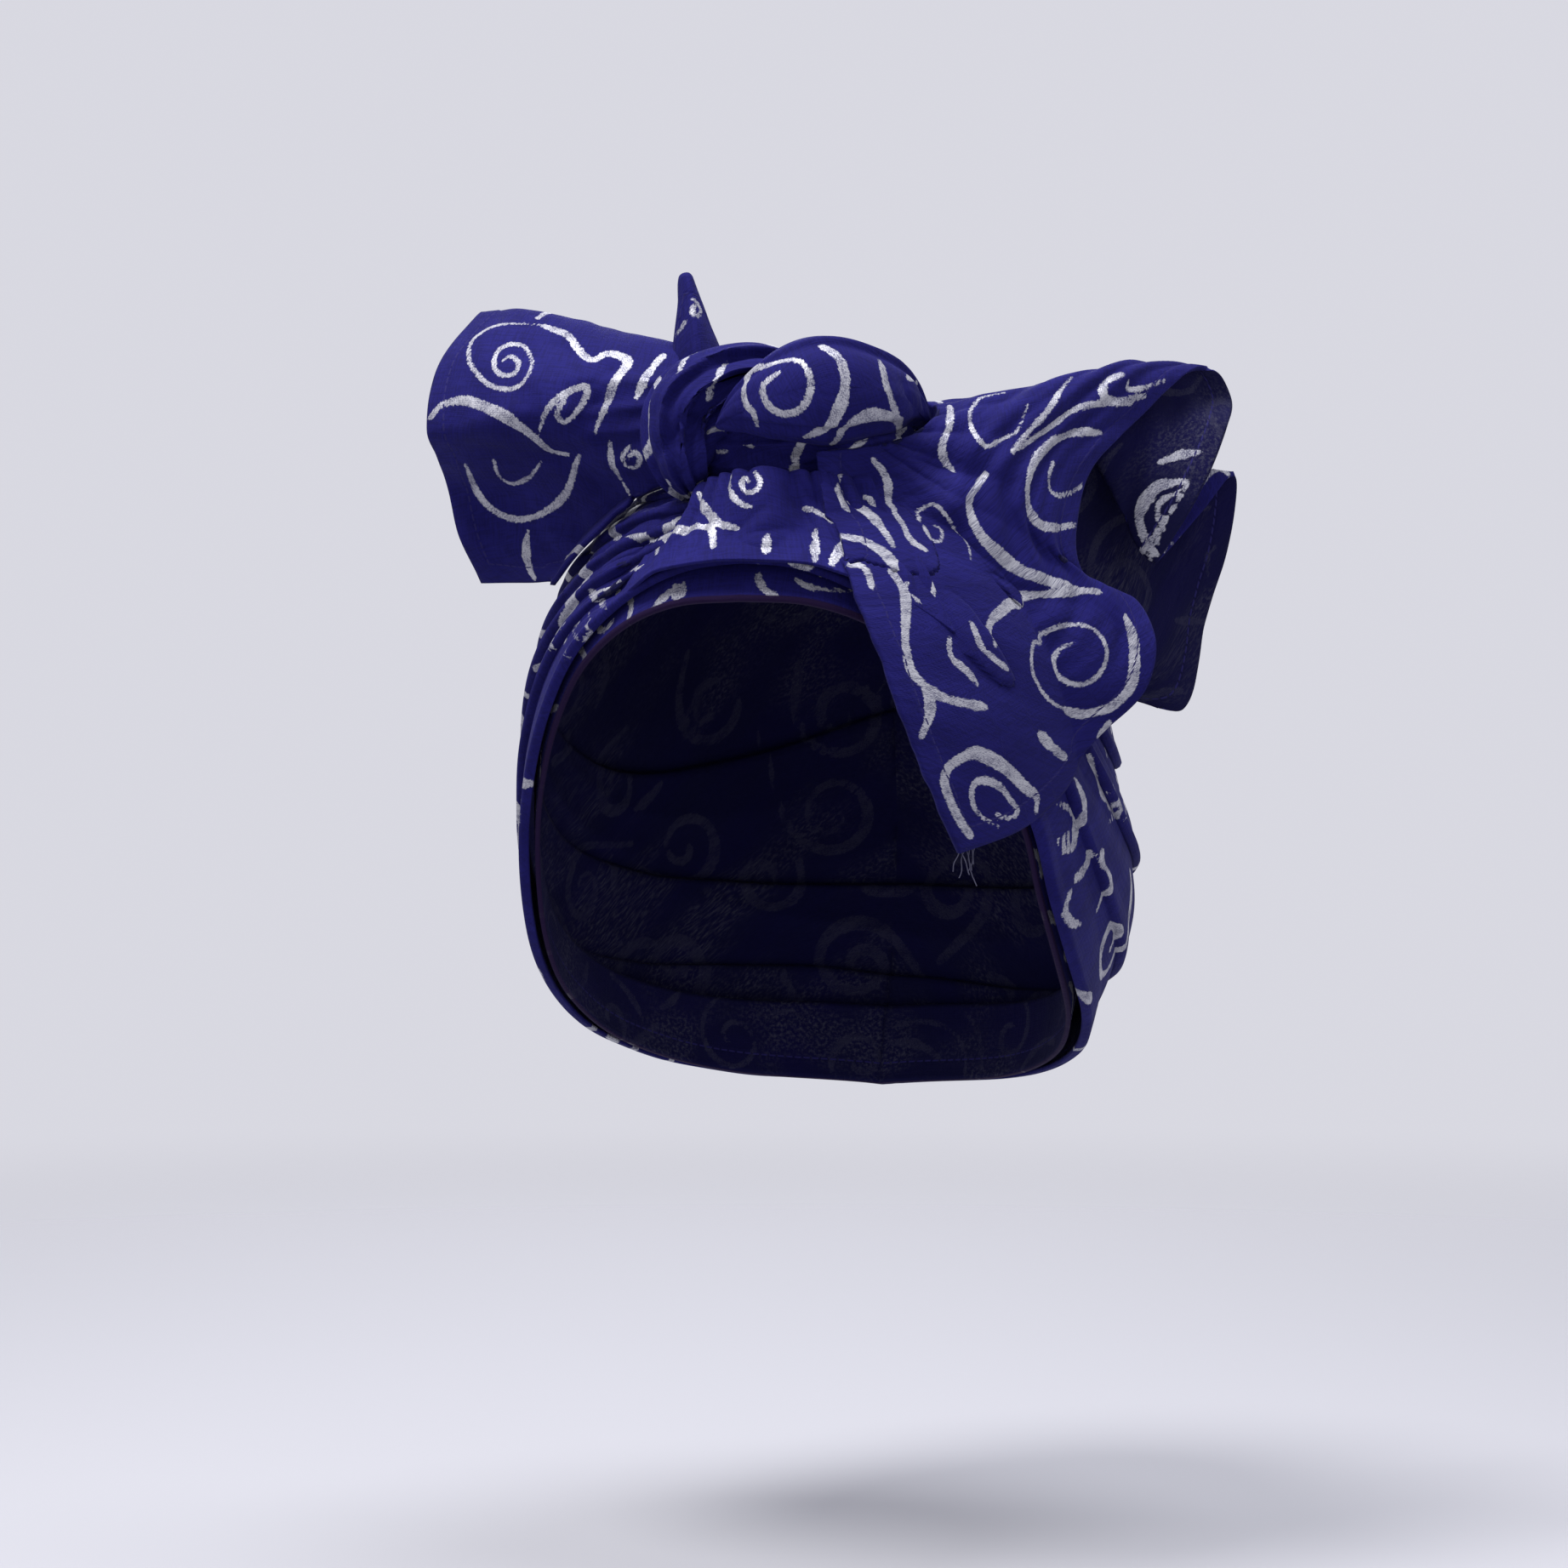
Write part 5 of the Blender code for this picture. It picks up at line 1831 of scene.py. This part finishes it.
SEEN_FOLDS: Lines = (
    *RIGHT_END_FOLDS, *LEFT_END_FOLDS, *KNOT_FOLDS, *GATHER_FOLDS, *TEMPLE_FOLDS,
)

LEFT_TURN = Roll(
    "knot_left_cloth", "knot_left_turn",
    ((-31, 47, -15, 8, 1.0), (-34, 55, -5, 12, 1.0), (-32, 58, 8, 12.5, 1.0),
     (-21, 57, 16, 11.5, 1.0), (-7, 52, 17, 10, 1.0), (4, 42, 13, 6, 1.0)),
    folds=8, depth=3.4, twist=1.6, seed=31,
)
RIGHT_TURN = Roll(
    "knot_right_cloth", "knot_right_turn",
    ((-25, 67, 3, 6, 0.9), (-15, 69, 8, 11.5, 0.85), (-1, 68, 12, 14.5, 0.9),
     (12, 63, 12, 13.5, 0.9), (22, 54, 10, 11, 0.9), (31, 45, 5, 5.5, 0.9)),
    folds=5, depth=2.0, twist=-0.5, seed=47,
)


def right_end(knot: Knot) -> BowSheet:
    """The big bow end: a flared trumpet, a narrow fold, a lobe and a long drop."""
    folds = (
        (87, -3, -64, -10, -2, -16), (101, -9, -67, 2, 2, -2), (107, -13, -44, 3, 0, 3),
        (113, -9, -23, 1, -1, 1),
        (114, 1, -4, 0, -3, 0), (104, 8, -15, -2, -1, -2), (92, 13, -28, -3, 0, -2),
        (102, 17, -12, -1, 1, 0), (111, 9, 8, 0, -1, 4), (113, 1, 16, 0, -3, 6),
        (108, 5, 24, 0, 1, 7), (98, 15, 21, 0, 6, 6), (87, 24, 10, 0, 7, 3),
        (73, 35, -4, 0, 8, -1), (68, 42, -21, 2, 7, -1), (69, 43, -31, 2, 5, -1),
        (75, 40, -37, 2, 2, -2), (84, 37, -40, 2, 2, -3), (89, 39, -51, 2, 4, -6),
        (86, 40, -63, 2, 6, -7), (76, 42, -73, 3, 6, -6), (67, 46, -83, 2, 2, -3),
        (61, 50, -90, 1, 0, 0), (50, 61, -99, -2, 6, 2), (34, 74, -105, -7, 9, 2),
    )
    roots = ((0.00, 32, 24, 2), (0.18, 25, 37, 8), (0.38, 22, 46, 11), (0.52, 22, 56, 7),
             (0.66, 18, 63, 1), (0.84, 10, 66, -1), (1.00, 1, 69, -2))
    return BowSheet(
        "right_end_cloth", "right_bow_end", knot, folds, roots, 9.8,
        (0.6, 0.6, (0.2, -1, 0.2)), 361, 111,
        dart=((5, 112, 5, -1), (6, 111, 7, 2), (7, 111, 8, 5)),
        pleat_count=11, settle=5.0, seed=61, flat_width=420, held="gathered",
    )


def left_end(knot: Knot) -> BowSheet:
    """The smaller bow end, folded over so that its mouth opens outwards."""
    folds = (
        (-84, -16, -12, 0, -4, -2), (-93, -14, 8, 0, -6, 0), (-95, -6, 28, 0, -4, 3),
        (-89, 4, 39, 0, 2, 4), (-95, 13, 31, 0, 7, 2), (-100, 19, 20, 0, 9, 0),
        (-102, 24, 6, 0, 9, -1), (-100, 17, 0, 0, 2, -2), (-98, 6, -7, 0, -6, -3),
        (-95, 3, -20, 3, 0, -6), (-89, 0, -33, 12, 17, -7),
    )
    roots = ((0.00, -38, 20, 8), (0.35, -34, 36, 26), (0.55, -36, 48, 16),
             (0.75, -39, 50, 1), (0.88, -38, 40, -11), (1.00, -38, 27, -14))
    return BowSheet(
        "left_end_cloth", "left_bow_end", knot, folds, roots, 7.9,
        (0.5, 0.6, (-0.2, -1, 0.2)), 201, 91,
        pleat_count=9, seed=73, clear_of_drawn=23, flat_width=190, held="folded",
    )


def peak(knot: Knot) -> BowSheet:
    """The small point of cloth that stands up behind the knot."""
    folds = ((-35, 37, 43, 0, -1, -4), (-34.5, 38.5, 45, 0, 1, -4),
             (-33, 40, 45.5, 1, 3, -3), (-32, 39, 44.5, 1.5, 0, -2), (-31.5, 37, 42, 1, -3, -2))
    roots = ((0.00, -37, 34, 7), (0.25, -37, 41, 9), (0.50, -30, 46, 14),
             (0.75, -23, 42, 15), (1.00, -20, 34, 14))
    return BowSheet(
        "peak_cloth", "peak", knot, folds, roots, 7.9, (0.5, 0.5, (0, -1, 0.1)), 61, 41,
        gather=0.0, pleat_count=3, pleat_depth=1.0, soft=0.3, seed=83,
        flat_width=34, held="folded",
    )


def front_gather(knot: Knot) -> BowSheet:
    """The pleats that run from under the knot to the temple."""
    folds = ((-47, 61, -39, 0, -1, 0), (-36, 68, -36, 0, 0, 0), (-24, 74, -34, 0, 1, 0),
             (-12, 77, -34, 0, 4, 0), (-2, 77, -35, 0, 1, 0), (8, 77, -38, 0, 2, 0),
             (18, 76, -42, 0, 0, 0), (32, 73, -50, 0, 0, 0))
    roots = ((0.00, -34, 55, -16), (0.22, -26, 62, -10), (0.45, -14, 68, -8),
             (0.75, 2, 69, -9), (1.00, 14, 66, -10))
    return BowSheet(
        "gather_cloth", "front_gather", knot, folds, roots, 7.7, (0.5, 0.5, (0, -1, 0.1)),
        161, 81, gather=0.0, wall=0.8, hem_wall=0.9, pleat_count=10, pleat_depth=2.4,
        pleat_fade=0.6, tuck=5.0, laid=True, press=2.5, soft=0.6,
        seed=97, flat_width=60, held="gathered",
        rests_on=("head_wrap", "knot_heart"),
    )


def main() -> None:
    """Builds the wrap, the knot, the bow ends and the studio, in that order."""
    logging.basicConfig(level=logging.INFO, format="%(message)s")
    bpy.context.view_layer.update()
    cotton = PrintedCotton()
    printed = cotton.material("printed_cotton", Side.PRINTED)
    wrong = cotton.material("cotton_wrong_side", Side.WRONG)
    band_cotton = PrintedCotton(selvedge_width=1.7, stitch_inset=-9.0)
    band_printed = band_cotton.material("band_cotton", Side.PRINTED)
    wrap_cotton = PrintedCotton(stitch_inset=-9.0)
    wrap_printed = wrap_cotton.material("wrap_cotton", Side.PRINTED)

    layout = WrapLayout()
    knot = Knot(layout, LEFT_TURN, RIGHT_TURN)
    view = PhotoView(seen_surfaces(layout, knot))
    lines = view.lines(SEEN_SCROLLS, SEEN_FOLDS)
    BrowBand(layout, strokes=lines["band"]["strokes"]).build(band_printed, wrong)
    HeadWrap(layout, **lines["wrap"]).build(wrap_printed, wrong)
    knot = Knot(layout, replace(LEFT_TURN, **lines["left_turn"]),
                replace(RIGHT_TURN, **lines["right_turn"]), **lines["heart"])
    knot.build(wrap_printed, wrong)
    replace(front_gather(knot), **lines["gather"]).build(wrap_printed, wrong)
    replace(left_end(knot), **lines["left_end"]).build(printed, wrong)
    replace(peak(knot), **lines["peak"]).build(printed, wrong)
    big = replace(right_end(knot), **lines["right_end"])
    surface = big.surface()
    tip, beside = surface.points[-1, -1], surface.points[-1, -9]
    threads = FrayedThreads().build(tip, unit(beside - tip), wrong)
    big.build(printed, wrong, (threads,))
    Studio().build()


if __name__ == "__main__":
    main()
